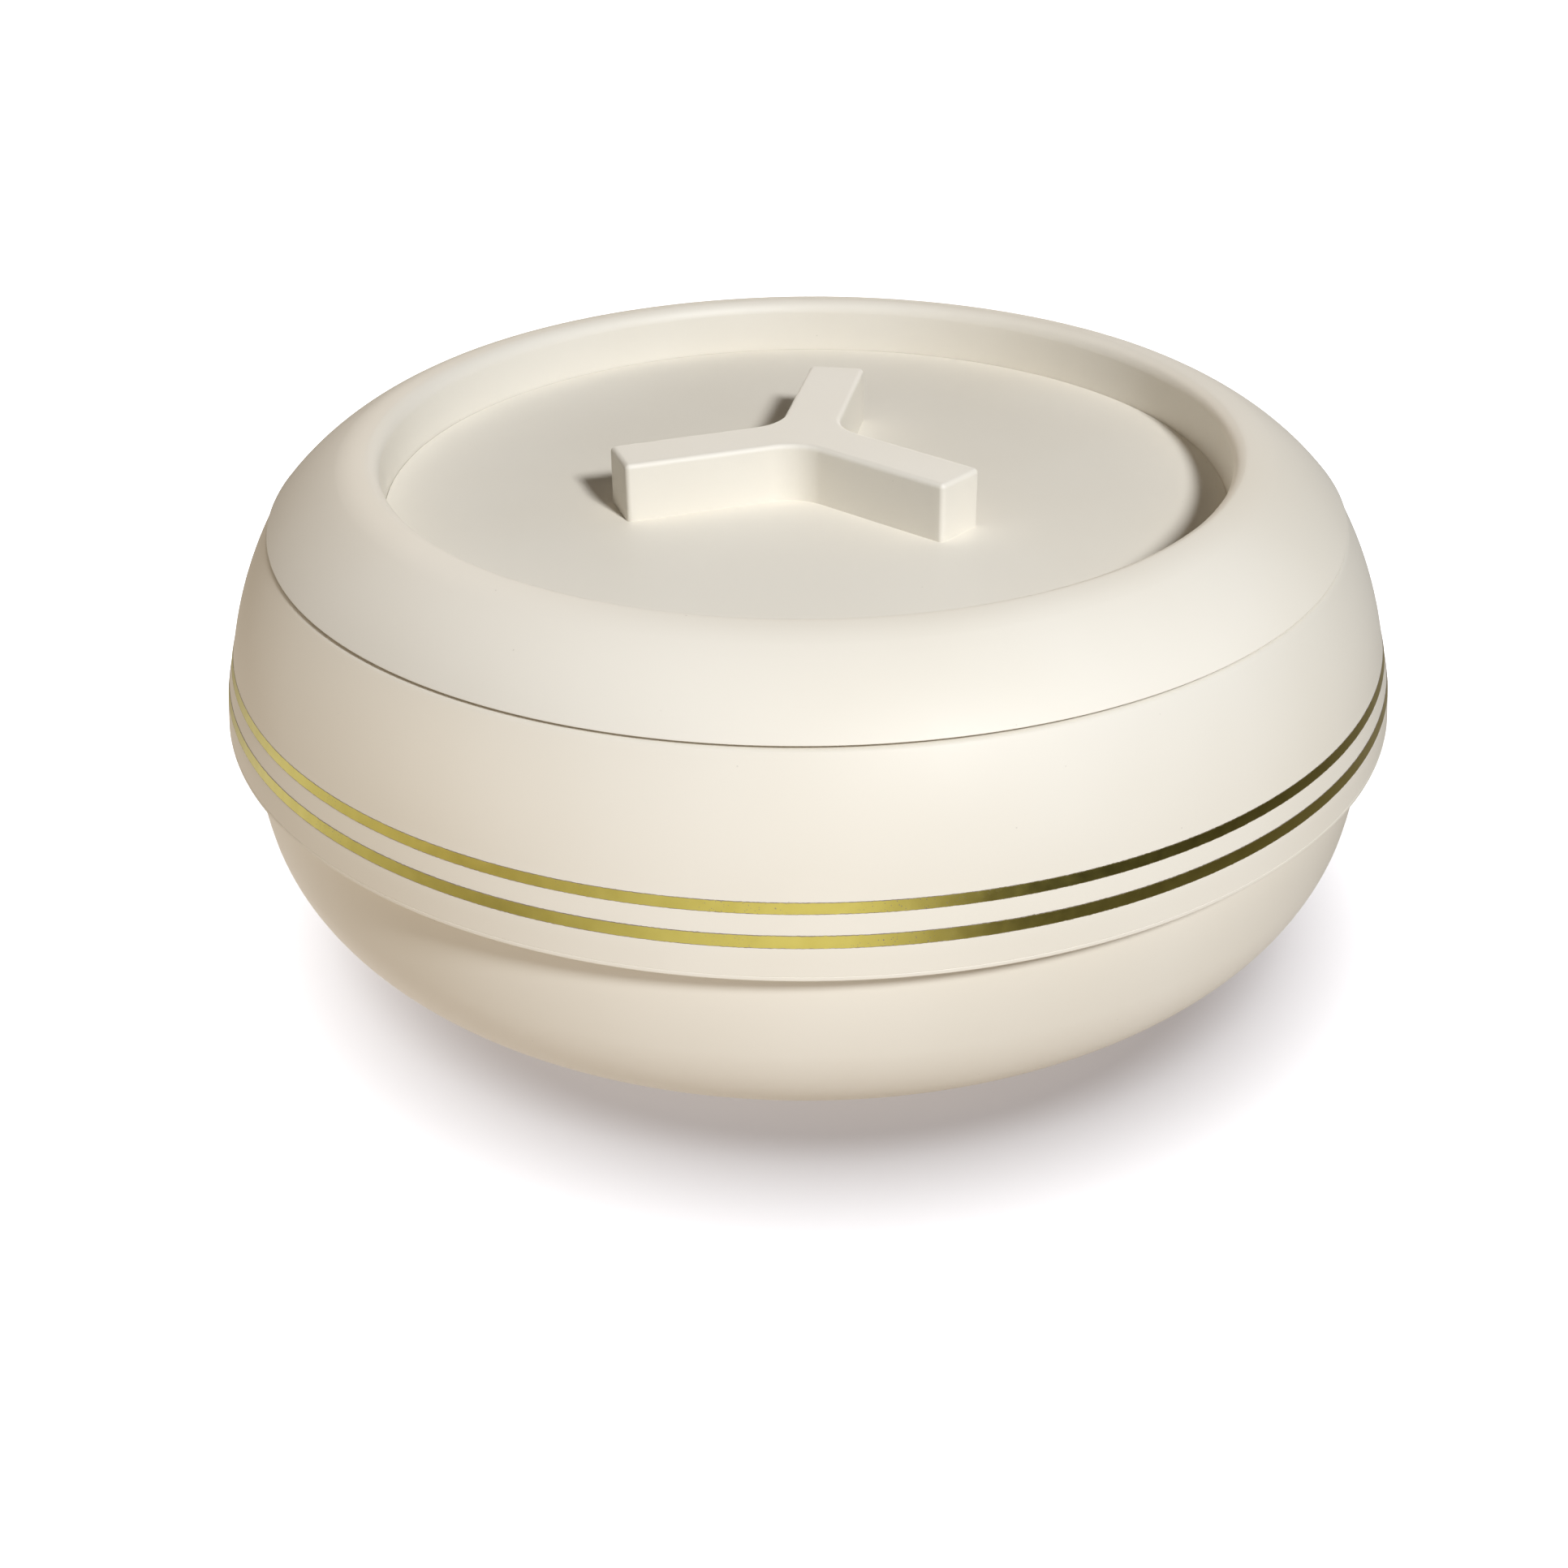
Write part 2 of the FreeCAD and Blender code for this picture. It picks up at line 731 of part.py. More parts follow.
def make_lid_foam():
    """Rigid foam inside the lid, with pockets over the screw heads."""
    gap = s.foam_clearance
    ledge_radius = recess_radius - s.disc_ledge_width - gap
    outline = [
        (0.0, liner_floor_top),
        (liner_inner_radius - gap, liner_floor_top),
        (liner_inner_radius - gap, flange_top),
    ]
    outline += ring_underside(s.shell_wall + gap)
    outline += [
        (recess_radius + s.shell_wall + gap, disc_ledge_under),
        (ledge_radius, disc_ledge_under),
        (ledge_radius, disc_under),
        (0.0, disc_under),
    ]
    body = turned_body("lid_foam", outline)
    pocket_radius = s.screw_head_radius + s.fit_clearance
    pocket_depth = s.screw_head_thickness + s.fit_clearance
    circle = add_circle_sketch(body, "head_pocket_sketch", s.screw_circle, pocket_radius, disc_under)
    pocket = add_pocket(body, "head_pocket", circle, pocket_depth, False)
    add_polar(body, "head_pockets", [pocket])
    turn_with_handle(body)
    return body


def check(pieces):
    """Stops with the names of failed objects before anything is written."""
    failed = [item.Name for item in doc.Objects if "Invalid" in item.State or "Error" in item.State]
    for piece in pieces:
        shape = piece.Shape
        if shape.isNull() or not shape.isValid() or not shape.Solids:
            failed.append(piece.Label)
    if failed:
        raise RuntimeError("failed: " + ", ".join(failed))


def write(pieces):
    os.makedirs("parts", exist_ok=True)
    for piece in pieces:
        piece.Shape.exportStep("parts/" + piece.Label + ".step")
        box = piece.Shape.optimalBoundingBox()
        size = (len(piece.Shape.Solids), piece.Shape.Volume, box.XLength, box.YLength, box.ZMin, box.ZMax)
        print(piece.Label, "solids %d volume %.0f x %.1f y %.1f z %.2f to %.2f" % size)


def main():
    pieces = [
        make_outer_bowl(),
        make_belly_collar(),
        make_stripe("gold_stripe_upper", s.upper_stripe_drop, s.upper_stripe_width),
        make_stripe("gold_stripe_lower", s.lower_stripe_drop, s.lower_stripe_width),
        make_inner_pot(),
        make_body_foam(),
        make_plug("bowl_fill_plug", s.bowl_lift, s.shell_wall),
        make_lid_ring(),
        make_lid_disc(),
        make_lid_handle(),
        make_handle_screws(),
        make_lid_liner(),
        make_lid_seal(),
        make_lid_foam(),
        make_plug("lid_fill_plug", liner_floor, s.liner_floor_thickness),
    ]
    doc.recompute()
    check(pieces)
    write(pieces)


main()
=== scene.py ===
import math
import bpy
import numpy as np
from mathutils import Matrix, Vector
from mathutils.geometry import tessellate_polygon


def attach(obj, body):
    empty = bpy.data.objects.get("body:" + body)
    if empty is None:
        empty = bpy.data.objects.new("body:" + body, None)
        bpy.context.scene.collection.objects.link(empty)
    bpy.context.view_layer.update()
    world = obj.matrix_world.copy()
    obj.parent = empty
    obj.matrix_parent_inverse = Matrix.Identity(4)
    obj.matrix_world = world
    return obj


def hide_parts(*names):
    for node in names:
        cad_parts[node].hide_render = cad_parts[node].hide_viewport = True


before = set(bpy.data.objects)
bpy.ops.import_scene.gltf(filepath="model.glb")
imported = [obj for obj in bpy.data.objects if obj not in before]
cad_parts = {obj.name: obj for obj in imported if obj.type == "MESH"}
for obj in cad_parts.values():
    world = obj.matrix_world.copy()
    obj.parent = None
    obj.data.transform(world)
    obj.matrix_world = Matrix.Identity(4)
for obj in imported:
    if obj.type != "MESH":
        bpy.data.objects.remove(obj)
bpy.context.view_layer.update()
print("frame loaded")

mm = 0.001  # the lengths in the dictionaries are in millimetres
fullTurn = 2 * math.pi
scene = bpy.context.scene


view = {
    "lens": 50.905,
    "sensor": 36.0,
    "nearest": 10.0,
    "distance": 506.66,
    "elevation": 29.748,
    "roll": -0.625,
    "target": (-5.267, 0.0, 19.138),
}


def placeCamera(sizes):
    # The camera looks along +Y and down at its target, from the distance and elevation given, and rolls about
    # its own axis.
    tilt = math.radians(sizes["elevation"])
    roll = math.radians(sizes["roll"])
    back = Vector((0, -math.cos(tilt), math.sin(tilt)))
    upright = Vector((0, math.sin(tilt), math.cos(tilt)))
    level = Vector((1, 0, 0))
    right = level * math.cos(roll) + upright * math.sin(roll)
    up = upright * math.cos(roll) - level * math.sin(roll)
    lens = bpy.data.cameras.new("camera")
    lens.sensor_width = sizes["sensor"]
    lens.lens = sizes["lens"]
    lens.clip_start = sizes["nearest"] * mm
    camera = bpy.data.objects.new("camera", lens)
    scene.collection.objects.link(camera)
    spot = (Vector(sizes["target"]) + back * sizes["distance"]) * mm
    turn = Matrix((right, up, back)).transposed().to_4x4()
    camera.matrix_world = Matrix.Translation(spot) @ turn
    scene.camera = camera


placeCamera(view)
print("camera placed")


# how outlines are cut into points
sampling = {
    "arcPoints": 200,  # from which the points of an arc are read
    "arcStep": 1.1,  # between points of an arc
    "straightStep": 12.0,  # between points of a straight run
    "cutShare": 0.45,  # of a run, the most that a rounded corner takes
    "guard": 0.35,  # kept clear beside a cut
    "guardShare": 0.2,
    "cornerPoints": 5,
    "samePlace": 1e-6,
    "sharpAngle": 38.0,  # edges that turn more than this stay sharp
}


def arcRun(start, end, bulge, count):
    # Points on the circle of radius |bulge| through start and end.
    # A positive bulge has its centre on the left of the walk.
    start, end = np.array(start, float), np.array(end, float)
    along = end - start
    half = np.hypot(*along) / 2
    across = np.array([-along[1], along[0]]) / (2 * half)
    centre = (start + end) / 2 + across * math.copysign(math.sqrt(bulge * bulge - half * half), bulge)
    first = math.atan2(*(start - centre)[::-1])
    sweep = math.copysign(2 * math.asin(half / abs(bulge)), bulge)
    turn = first + sweep * np.linspace(0, 1, count)
    return centre + abs(bulge) * np.stack([np.cos(turn), np.sin(turn)], 1)


def walked(line):
    # the distance walked along a line at each of its points
    return np.concatenate([[0], np.cumsum(np.hypot(*np.diff(line, axis=0).T))])


def pointsAlong(line, stations):
    # the points of a line at the given distances along it
    lengths = walked(line)
    return np.stack([np.interp(stations, lengths, line[:, axis]) for axis in (0, 1)], 1)


def section(corners, softness, closed=True):
    # An outline (radius, height, bulge to the next corner, own softness), walked with the solid on its left.
    # Each corner is cut back by its softness along both runs, and a parabola with the corner as its control
    # point joins the cuts.
    corners = [tuple(corner) + (0, softness)[len(corner) - 2:] for corner in corners]
    count = len(corners)
    runs = []
    for index in range(count if closed else count - 1):
        here, there = corners[index], corners[(index + 1) % count]
        if here[2]:
            run = arcRun(here[:2], there[:2], here[2], sampling["arcPoints"])
        else:
            run = np.array([here[:2], there[:2]], float)
        length = np.hypot(*np.diff(run, axis=0).T).sum()
        most = length * sampling["cutShare"]
        before = min(here[3], most) if closed or index else 0.0
        after = min(there[3], most) if closed or index < count - 2 else 0.0
        guard = min(sampling["guard"], (length - before - after) * sampling["guardShare"])
        step = sampling["arcStep"] if here[2] else sampling["straightStep"]
        inner = np.linspace(before + guard, length - after - guard, max(2, int(length / step)))
        runs.append(pointsAlong(run, np.concatenate([[before], inner, [length - after]])))
    parts = []
    share = np.linspace(0, 1, sampling["cornerPoints"] + 2)[1:-1, None]
    for index, run in enumerate(runs):
        parts.append(run)
        following = (index + 1) % len(runs)
        if closed or following:
            corner = np.array(corners[(index + 1) % count][:2], float)
            cut, start = run[-1], runs[following][0]
            parts.append((1 - share) ** 2 * cut + 2 * share * (1 - share) * corner + share ** 2 * start)
    line = np.concatenate(parts)
    keep = np.hypot(*np.diff(line, axis=0, append=line[:1]).T) > sampling["samePlace"]
    keep[-1] = keep[-1] or not closed
    return line[keep]


def gridFaces(rows, columns, closedRows):
    # quads of a grid that closes over its columns, and over its rows where it is asked to
    rowCount = rows if closedRows else rows - 1
    row, column = np.meshgrid(np.arange(rowCount), np.arange(columns), indexing="ij")
    nextRow, nextColumn = (row + 1) % rows, (column + 1) % columns
    corners = [row * columns + column, row * columns + nextColumn,
               nextRow * columns + nextColumn, nextRow * columns + column]
    return np.stack(corners, -1).reshape(-1, 4)


def fanFaces(first, columns, pole, turned):
    # triangles from one ring of a grid to a pole
    column = np.arange(columns)
    ring = [first + column, first + (column + 1) % columns]
    return np.stack((ring[::-1] if turned else ring) + [np.full(columns, pole)], -1)


def makePiece(name, points, faces, marks=None):
    # puts arrays of points (in millimetres) and faces into a mesh, with a float attribute for each mark
    mesh = bpy.data.meshes.new(name)
    mesh.from_pydata((points * mm).tolist(), [], [face for group in faces for face in group.tolist()])
    mesh.polygons.foreach_set("use_smooth", np.ones(len(mesh.polygons), bool))
    mesh.set_sharp_from_angle(angle=math.radians(sampling["sharpAngle"]))
    for mark, values in (marks or {}).items():
        mesh.attributes.new(mark, "FLOAT", "POINT").data.foreach_set("value", values.astype(np.float32))
    mesh.validate()
    piece = bpy.data.objects.new(name, mesh)
    scene.collection.objects.link(piece)
    return piece


def roundAngles(steps):
    return np.linspace(0, fullTurn, steps, endpoint=False)


def turned(name, line, steps, poles=False):
    # A body of revolution: point (radius, height) of the outline at angle a is
    # (radius cos a, radius sin a, height). With poles, the outline starts and ends on the axis, and each end
    # is one point.
    angle = roundAngles(steps)
    along = walked(line)
    rings = line[1:-1] if poles else line
    points = np.stack([np.outer(rings[:, 0], np.cos(angle)), np.outer(rings[:, 0], np.sin(angle)),
                       np.repeat(rings[:, 1:], steps, axis=1)], -1).reshape(-1, 3)
    marks = np.repeat(along[1:-1] if poles else along, steps)
    faces = [gridFaces(len(rings), steps, not poles)]
    if poles:
        low, high = len(points), len(points) + 1
        points = np.concatenate([points, [[0, 0, line[0, 1]], [0, 0, line[-1, 1]]]])
        marks = np.concatenate([marks, along[[0, -1]]])
        faces += [fanFaces(0, steps, low, True), fanFaces((len(rings) - 1) * steps, steps, high, False)]
    return makePiece(name, points, faces, {"along": marks * mm})


def dress(piece, body, nodes, material):
    # a finished piece rides on its body, stands for its nodes and takes its material
    piece.data.materials.append(material)
    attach(piece, body)
    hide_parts(*nodes)


class Wire:  # an output socket of a recipe, on which sums add Math nodes
    def __init__(self, recipe, socket):
        self.recipe = recipe
        self.socket = socket

    def __add__(self, other):
        return self.recipe.maths("ADD", self, other)

    __radd__ = __add__

    def __mul__(self, other):
        return self.recipe.maths("MULTIPLY", self, other)

    __rmul__ = __mul__

    def __sub__(self, other):
        return self.recipe.maths("SUBTRACT", self, other)

    def __rsub__(self, other):
        return self.recipe.maths("SUBTRACT", other, self)

    def over(self, limit):
        return self.recipe.maths("GREATER_THAN", self, limit)


class Recipe:  # the nodes of one material or world
    def __init__(self, owner):
        owner.use_nodes = True
        self.owner = owner
        self.tree = owner.node_tree
        self.tree.nodes.clear()
        self.place = self.add("ShaderNodeTexCoord", {}, {}, "Object")

    def add(self, kind, settings, sockets, output=0):
        node = self.tree.nodes.new(kind)
        for key, value in settings.items():
            setattr(node, key, value)
        for key, value in sockets.items():
            if isinstance(value, Wire):
                self.tree.links.new(value.socket, node.inputs[key])
            else:
                node.inputs[key].default_value = value
        return Wire(self, node.outputs[output]) if len(node.outputs) else None

    def maths(self, operation, first, second):
        return self.add("ShaderNodeMath", {"operation": operation}, {0: first, 1: second})

    def tint(self, colour):
        return colour if isinstance(colour, Wire) else (*colour, 1)

    def mark(self, name):
        return self.add("ShaderNodeAttribute", {"attribute_name": name}, {}, "Fac")

    def noise(self, scale, detail):
        return self.add("ShaderNodeTexNoise", {}, {"Vector": self.place, "Scale": scale, "Detail": detail})

    def lineNoise(self, wire, scale, detail):
        # noise that changes along one value
        sockets = {"W": wire * scale, "Scale": 1.0, "Detail": detail}
        return self.add("ShaderNodeTexNoise", {"noise_dimensions": "1D"}, sockets)

    def ramp(self, wire, low, high, lowest=0.0, highest=1.0):
        sockets = {"Value": wire, "From Min": low, "From Max": high, "To Min": lowest, "To Max": highest}
        return self.add("ShaderNodeMapRange", {"interpolation_type": "SMOOTHSTEP"}, sockets)

    def mix(self, share, first, second):
        sockets = {0: share, 6: self.tint(first), 7: self.tint(second)}
        return self.add("ShaderNodeMix", {"data_type": "RGBA"}, sockets, 2)

    def bump(self, height, strength, distance, normal=None):
        sockets = {"Height": height, "Strength": strength, "Distance": distance}
        if normal:
            sockets["Normal"] = normal
        return self.add("ShaderNodeBump", {}, sockets)

    def specks(self, scale, size, rarity, core=0.6):
        # Round specks: the distance to a cell's point is under size, in the few cells whose random value is
        # over rarity. Within the core's share of that size a speck is solid.
        cells = {"Vector": self.place, "Scale": scale}
        far = self.add("ShaderNodeTexVoronoi", {}, cells, "Distance")
        colour = self.add("ShaderNodeTexVoronoi", {}, cells, "Color")
        chance = self.add("ShaderNodeSeparateColor", {}, {"Color": colour}, "Red")
        return (1 - self.ramp(far, size * core, size)) * chance.over(rarity)

    def glow(self, colour, strength=1.0):
        return self.add("ShaderNodeEmission", {}, {"Color": self.tint(colour), "Strength": strength})

    def seenDirectly(self):
        # 1 for rays from the camera, a mirror or a clear body, 0 for rays that carry light between surfaces
        seen = self.add("ShaderNodeLightPath", {}, {}, "Is Camera Ray")
        for ray in ("Is Glossy Ray", "Is Transmission Ray"):
            seen = self.maths("MAXIMUM", seen, self.add("ShaderNodeLightPath", {}, {}, ray))
        return seen

    def choose(self, factor, first, second):
        # the first shader where factor is 0 and the second where it is 1
        return self.add("ShaderNodeMixShader", {}, {0: factor, 1: first, 2: second})

    def surface(self, shader, output="ShaderNodeOutputMaterial"):
        self.add(output, {}, {"Surface": shader})
        return self.owner

    def finish(self, constants, **wires):
        sockets = {key.replace("_", " "): value for key, value in wires.items()}
        return self.surface(self.add("ShaderNodeBsdfPrincipled", {}, {**constants, **sockets}))


def newRecipe(name):
    return Recipe(bpy.data.materials.new(name))


# In the dictionaries of the finishes a noise is (scale, detail), a bump is (strength, distance in metres) and
# a range is where a smooth step starts and ends. A speck or hole is (scale, size, rarity), and a speck has
# its weight after them.
ivory = {
    "colour": (0.804, 0.762, 0.676),
    "shade": (0.766, 0.716, 0.618),
    "cloudNoise": (9.0, 3.0),
    "cloudRange": (0.35, 0.7),
    "speck": (0.330, 0.285, 0.225),
    "specks": [(95.0, 0.018, 0.80, 1.0), (38.0, 0.008, 0.70, 1.0), (230.0, 0.05, 0.90, 0.6)],
    "speckShare": 0.40,
    "roughness": 0.54,
    "patchNoise": (55.0, 4.0),
    "patchRoughness": 0.10,
    "grainNoise": (1500.0, 2.0),
    "grainRoughness": 0.06,
    "grainBump": (0.16, 0.00004),
    "waveNoise": (22.0, 1.0),
    "waveBump": (0.10, 0.0006),
    "constants": {"IOR": 1.5, "Specular IOR Level": 0.6},
}


def ivoryPlastic(sizes):
    # satin moulded polypropylene: faint clouds, a few specks of dirt, a fine grain and a shallow waviness
    recipe = newRecipe("ivoryShell")
    cloud = recipe.ramp(recipe.noise(*sizes["cloudNoise"]), *sizes["cloudRange"])
    colour = recipe.mix(cloud, sizes["colour"], sizes["shade"])
    dirt = sum(recipe.specks(*speck) * weight for *speck, weight in sizes["specks"])
    colour = recipe.mix(dirt * sizes["speckShare"], colour, sizes["speck"])
    grain = recipe.noise(*sizes["grainNoise"])
    patches = recipe.noise(*sizes["patchNoise"])
    uneven = (patches - 0.5) * sizes["patchRoughness"] + (grain - 0.5) * sizes["grainRoughness"]
    roughness = uneven + sizes["roughness"]
    wave = recipe.bump(recipe.noise(*sizes["waveNoise"]), *sizes["waveBump"])
    bump = recipe.bump(grain, *sizes["grainBump"], wave)
    return recipe.finish(sizes["constants"], Base_Color=colour, Roughness=roughness, Normal=bump)


gold = {
    "colour": (0.540, 0.476, 0.132),
    "shade": (0.440, 0.378, 0.088),
    "colourNoise": (240.0, 3.0),
    "outline": (0.200, 0.162, 0.150),
    "outlineRange": (0.015, 0.07),
    "outlineRoughness": 0.3,
    "raggedNoise": (900.0, 3.0),
    "raggedDepth": 0.11,
    "holes": [(1300.0, 0.22, 0.93), (2800.0, 0.30, 0.70)],
    "holeNoise": (26.0, 2.0),
    "holeRange": (0.48, 0.62),
    "outlineAndHoles": 0.8,  # of the metal, what is taken away in the holes and in the dark outline at both edges
    "roughness": 0.24,
    "dullNoise": (420.0, 3.0),
    "dullRoughness": 0.14,
    "creases": [(700.0, 3.0), (120.0, 1.0)],
    "creaseBump": (0.30, 0.00005),
    "constants": {"IOR": 1.45},
}


def goldFoil(sizes):
    # Hot-stamped foil: metal but for pinholes, and a dull dark outline at both edges.
    # The piece's own attribute across runs from 0 at the lower edge to 1 at the upper one.
    recipe = newRecipe("goldFoil")
    across = recipe.mark("across")
    ragged = (recipe.noise(*sizes["raggedNoise"]) - 0.5) * sizes["raggedDepth"]
    edge = recipe.maths("MINIMUM", across, 1 - across) + ragged
    outline = 1 - recipe.ramp(edge, *sizes["outlineRange"])
    patches = recipe.ramp(recipe.noise(*sizes["holeNoise"]), *sizes["holeRange"])
    holes = sum(recipe.specks(*hole) for hole in sizes["holes"]) * patches
    # the dark outline at both edges together with the pinholes, where the foil is dark and dull
    outlineAndHoles = recipe.maths("MAXIMUM", outline, holes)
    colour = recipe.mix(recipe.noise(*sizes["colourNoise"]), sizes["colour"], sizes["shade"])
    colour = recipe.mix(outlineAndHoles, colour, sizes["outline"])
    dull = recipe.noise(*sizes["dullNoise"]) * sizes["dullRoughness"] + outline * sizes["outlineRoughness"]
    bump = recipe.bump(sum(recipe.noise(*crease) for crease in sizes["creases"]), *sizes["creaseBump"])
    return recipe.finish(sizes["constants"], Base_Color=colour, Metallic=1 - outlineAndHoles * sizes["outlineAndHoles"],
                         Roughness=dull + sizes["roughness"], Normal=bump)


steel = {
    "colour": (0.640, 0.635, 0.615),
    "shade": (0.540, 0.535, 0.520),
    "roughness": 0.26,
    "ringNoise": (5200.0, 3.0),
    "ringRoughness": 0.20,
    "ringBump": (0.25, 0.00003),
    "bandNoise": (420.0, 2.0),
    "bandRange": (0.3, 0.75),
    "smearNoise": (18.0, 4.0),
    "smearRoughness": 0.14,
    "constants": {"Metallic": 1.0},
}


def spunSteel(sizes):
    # Spun stainless sheet: fine rings that follow the outline, and a few faint smears.
    # The piece's own attribute along is the distance walked along its outline, in metres.
    recipe = newRecipe("potSteel")
    along = recipe.mark("along")
    rings = recipe.lineNoise(along, *sizes["ringNoise"])
    bands = recipe.lineNoise(along, *sizes["bandNoise"])
    smear = recipe.noise(*sizes["smearNoise"])
    colour = recipe.mix(recipe.ramp(bands, *sizes["bandRange"]), sizes["colour"], sizes["shade"])
    uneven = (rings - 0.5) * sizes["ringRoughness"] + (smear - 0.5) * sizes["smearRoughness"]
    roughness = uneven + sizes["roughness"]
    bump = recipe.bump(rings, *sizes["ringBump"])
    return recipe.finish(sizes["constants"], Base_Color=colour, Roughness=roughness, Normal=bump)


screwMetal = {
    "colour": (0.660, 0.655, 0.640),
    "shade": (0.500, 0.490, 0.470),
    "roughness": 0.30,
    "patchNoise": (420.0, 4.0),
    "patchRoughness": 0.2,
    "grainNoise": (1600.0, 2.0),
    "grainBump": (0.2, 0.00005),
    "constants": {"Metallic": 1.0},
}


def platedSteel(sizes):
    # zinc plating with dull patches
    recipe = newRecipe("platedScrew")
    patches = recipe.noise(*sizes["patchNoise"])
    colour = recipe.mix(patches, sizes["colour"], sizes["shade"])
    roughness = patches * sizes["patchRoughness"] + sizes["roughness"]
    bump = recipe.bump(recipe.noise(*sizes["grainNoise"]), *sizes["grainBump"])
    return recipe.finish(sizes["constants"], Base_Color=colour, Roughness=roughness, Normal=bump)


foam = {
    "colour": (0.820, 0.700, 0.420),
    "shade": (0.640, 0.500, 0.250),
    "roughness": 0.85,
    "cellScale": 850.0,
    "cellSoftness": 0.5,
    "cellBump": (0.7, 0.0004),
    "cloudNoise": (30.0, 4.0),
    "cloudLift": 0.3,
    "cloudRoughness": 0.1,
    "constants": {"IOR": 1.4},
}


def rigidFoam(sizes):
    # poured polyurethane: closed cells about a millimetre across, darker in their pits
    recipe = newRecipe("rigidFoam")
    sockets = {"Vector": recipe.place, "Scale": sizes["cellScale"], "Smoothness": sizes["cellSoftness"]}
    cells = recipe.add("ShaderNodeTexVoronoi", {"feature": "SMOOTH_F1"}, sockets, "Distance")
    clouds = recipe.noise(*sizes["cloudNoise"])
    colour = recipe.mix(cells * (clouds + sizes["cloudLift"]), sizes["colour"], sizes["shade"])
    roughness = (clouds - 0.5) * sizes["cloudRoughness"] + sizes["roughness"]
    bump = recipe.bump(cells, *sizes["cellBump"])
    return recipe.finish(sizes["constants"], Base_Color=colour, Roughness=roughness, Normal=bump)


rubber = {
    "colour": (0.700, 0.700, 0.675),
    "shade": (0.610, 0.605, 0.580),
    "roughness": 0.52,
    "bloomNoise": (70.0, 4.0),
    "bloomRange": (0.35, 0.7),
    "bloomRoughness": 0.15,
    "grainNoise": (900.0, 2.0),
    "grainBump": (0.2, 0.00008),
    "constants": {"IOR": 1.42},
}


def softSilicone(sizes):
    # pale silicone with a dusty bloom
    recipe = newRecipe("silicone")
    bloom = recipe.ramp(recipe.noise(*sizes["bloomNoise"]), *sizes["bloomRange"])
    colour = recipe.mix(bloom, sizes["colour"], sizes["shade"])
    roughness = bloom * sizes["bloomRoughness"] + sizes["roughness"]
    bump = recipe.bump(recipe.noise(*sizes["grainNoise"]), *sizes["grainBump"])
    return recipe.finish(sizes["constants"], Base_Color=colour, Roughness=roughness, Normal=bump)


ivoryShell = ivoryPlastic(ivory)
goldSheet = goldFoil(gold)
potSheet = spunSteel(steel)
screwSkin = platedSteel(screwMetal)
foamSkin = rigidFoam(foam)
sealSkin = softSilicone(rubber)
print("materials made")


bowl = {
    "outside": [(9.0, 1.9), (62.5, 1.9), (62.5, 0.0), (67.5, 0.0), (67.8, 1.9), (69.1, 1.9, 86.0),
                (99.5, 7.5, 31.7, 2.0), (119.6, 32.2, 84.0, 2.0), (120.6, 47.5), (119.9, 54.0),
                (119.9, 63.8)],
    "inside": [(117.5, 63.8), (117.5, 54.0), (118.2, 47.5, -81.6), (117.23, 32.58, -29.3, 1.0),
               (98.65, 9.75, -83.6, 1.0), (69.1, 4.3), (9.0, 4.3)],
    "softness": 0.5,
    "steps": 288,
}
bowlShell = turned("bowlShell", section(bowl["outside"] + bowl["inside"], bowl["softness"]), bowl["steps"])
dress(bowlShell, "casserole_body", ["outer_bowl"], ivoryShell)


collar = {
    "lip": [(122.2, 51.1, 0, 0.5), (125.0, 51.1, 0, 0.75), (124.925, 51.95, 0, 0.03),
            (124.84, 52.03, 0, 0.03), (124.90, 52.11, 0, 0.03)],  # the last three are a hairline groove
    "wall": [(124.45, 56.6, 110.0, 1.2), (122.2, 66.0, 74.5, 2.0), (112.5, 90.0, 0, 0.8), (107.1, 90.0),
             (107.1, 88.8), (103.3, 88.8, 1.4, 0.1), (101.9, 87.4, 0, 0.1)],
    "hem": [(101.9, 78.0), (104.3, 78.0), (104.3, 86.4), (112.5, 86.4, -72.1), (119.8, 66.0), (116.0, 66.0),
            (116.0, 63.8), (120.2, 63.8)],
    "softness": 0.25,
    "steps": 360,
}
collarLine = section(collar["lip"] + collar["wall"] + collar["hem"], collar["softness"])
collarShell = turned("collarShell", collarLine, collar["steps"])
dress(collarShell, "casserole_body", ["belly_collar"], ivoryShell)


stripes = {
    "knee": (122.2, 66.0),  # radius and height, as on the collar
    "belly": (124.45, 56.6),
    "bulge": 110.0,
    "upper": (63.60, 65.70),  # heights of a band's edges
    "lower": (57.55, 59.90),
    # how far across the band, and how far off the collar
    "profile": [(0.0, -0.03), (0.0, 0.02), (0.015, 0.06), (0.06, 0.06), (0.3, 0.06), (0.5, 0.06), (0.7, 0.06),
                (0.94, 0.06), (0.985, 0.06), (1.0, 0.02), (1.0, -0.03)],
    "waver": 0.030,
    "waves": (5, 900, 60),  # the fewest and most in a turn, and how many are added
    "weights": (0.4, 1.0),
    "steps": 2400,
    "seed": 7,
}


def wander(sizes, waves, random):
    # a closed wavering line: a sum of sines with random phases, scaled to a root mean square of a half
    phase = random.uniform(0, fullTurn, len(waves))
    weight = random.uniform(*sizes["weights"], len(waves))
    line = (np.sin(np.outer(roundAngles(sizes["steps"]), waves) + phase) * weight).sum(1)
    return line / np.sqrt((weight ** 2).sum() / 2) / 2


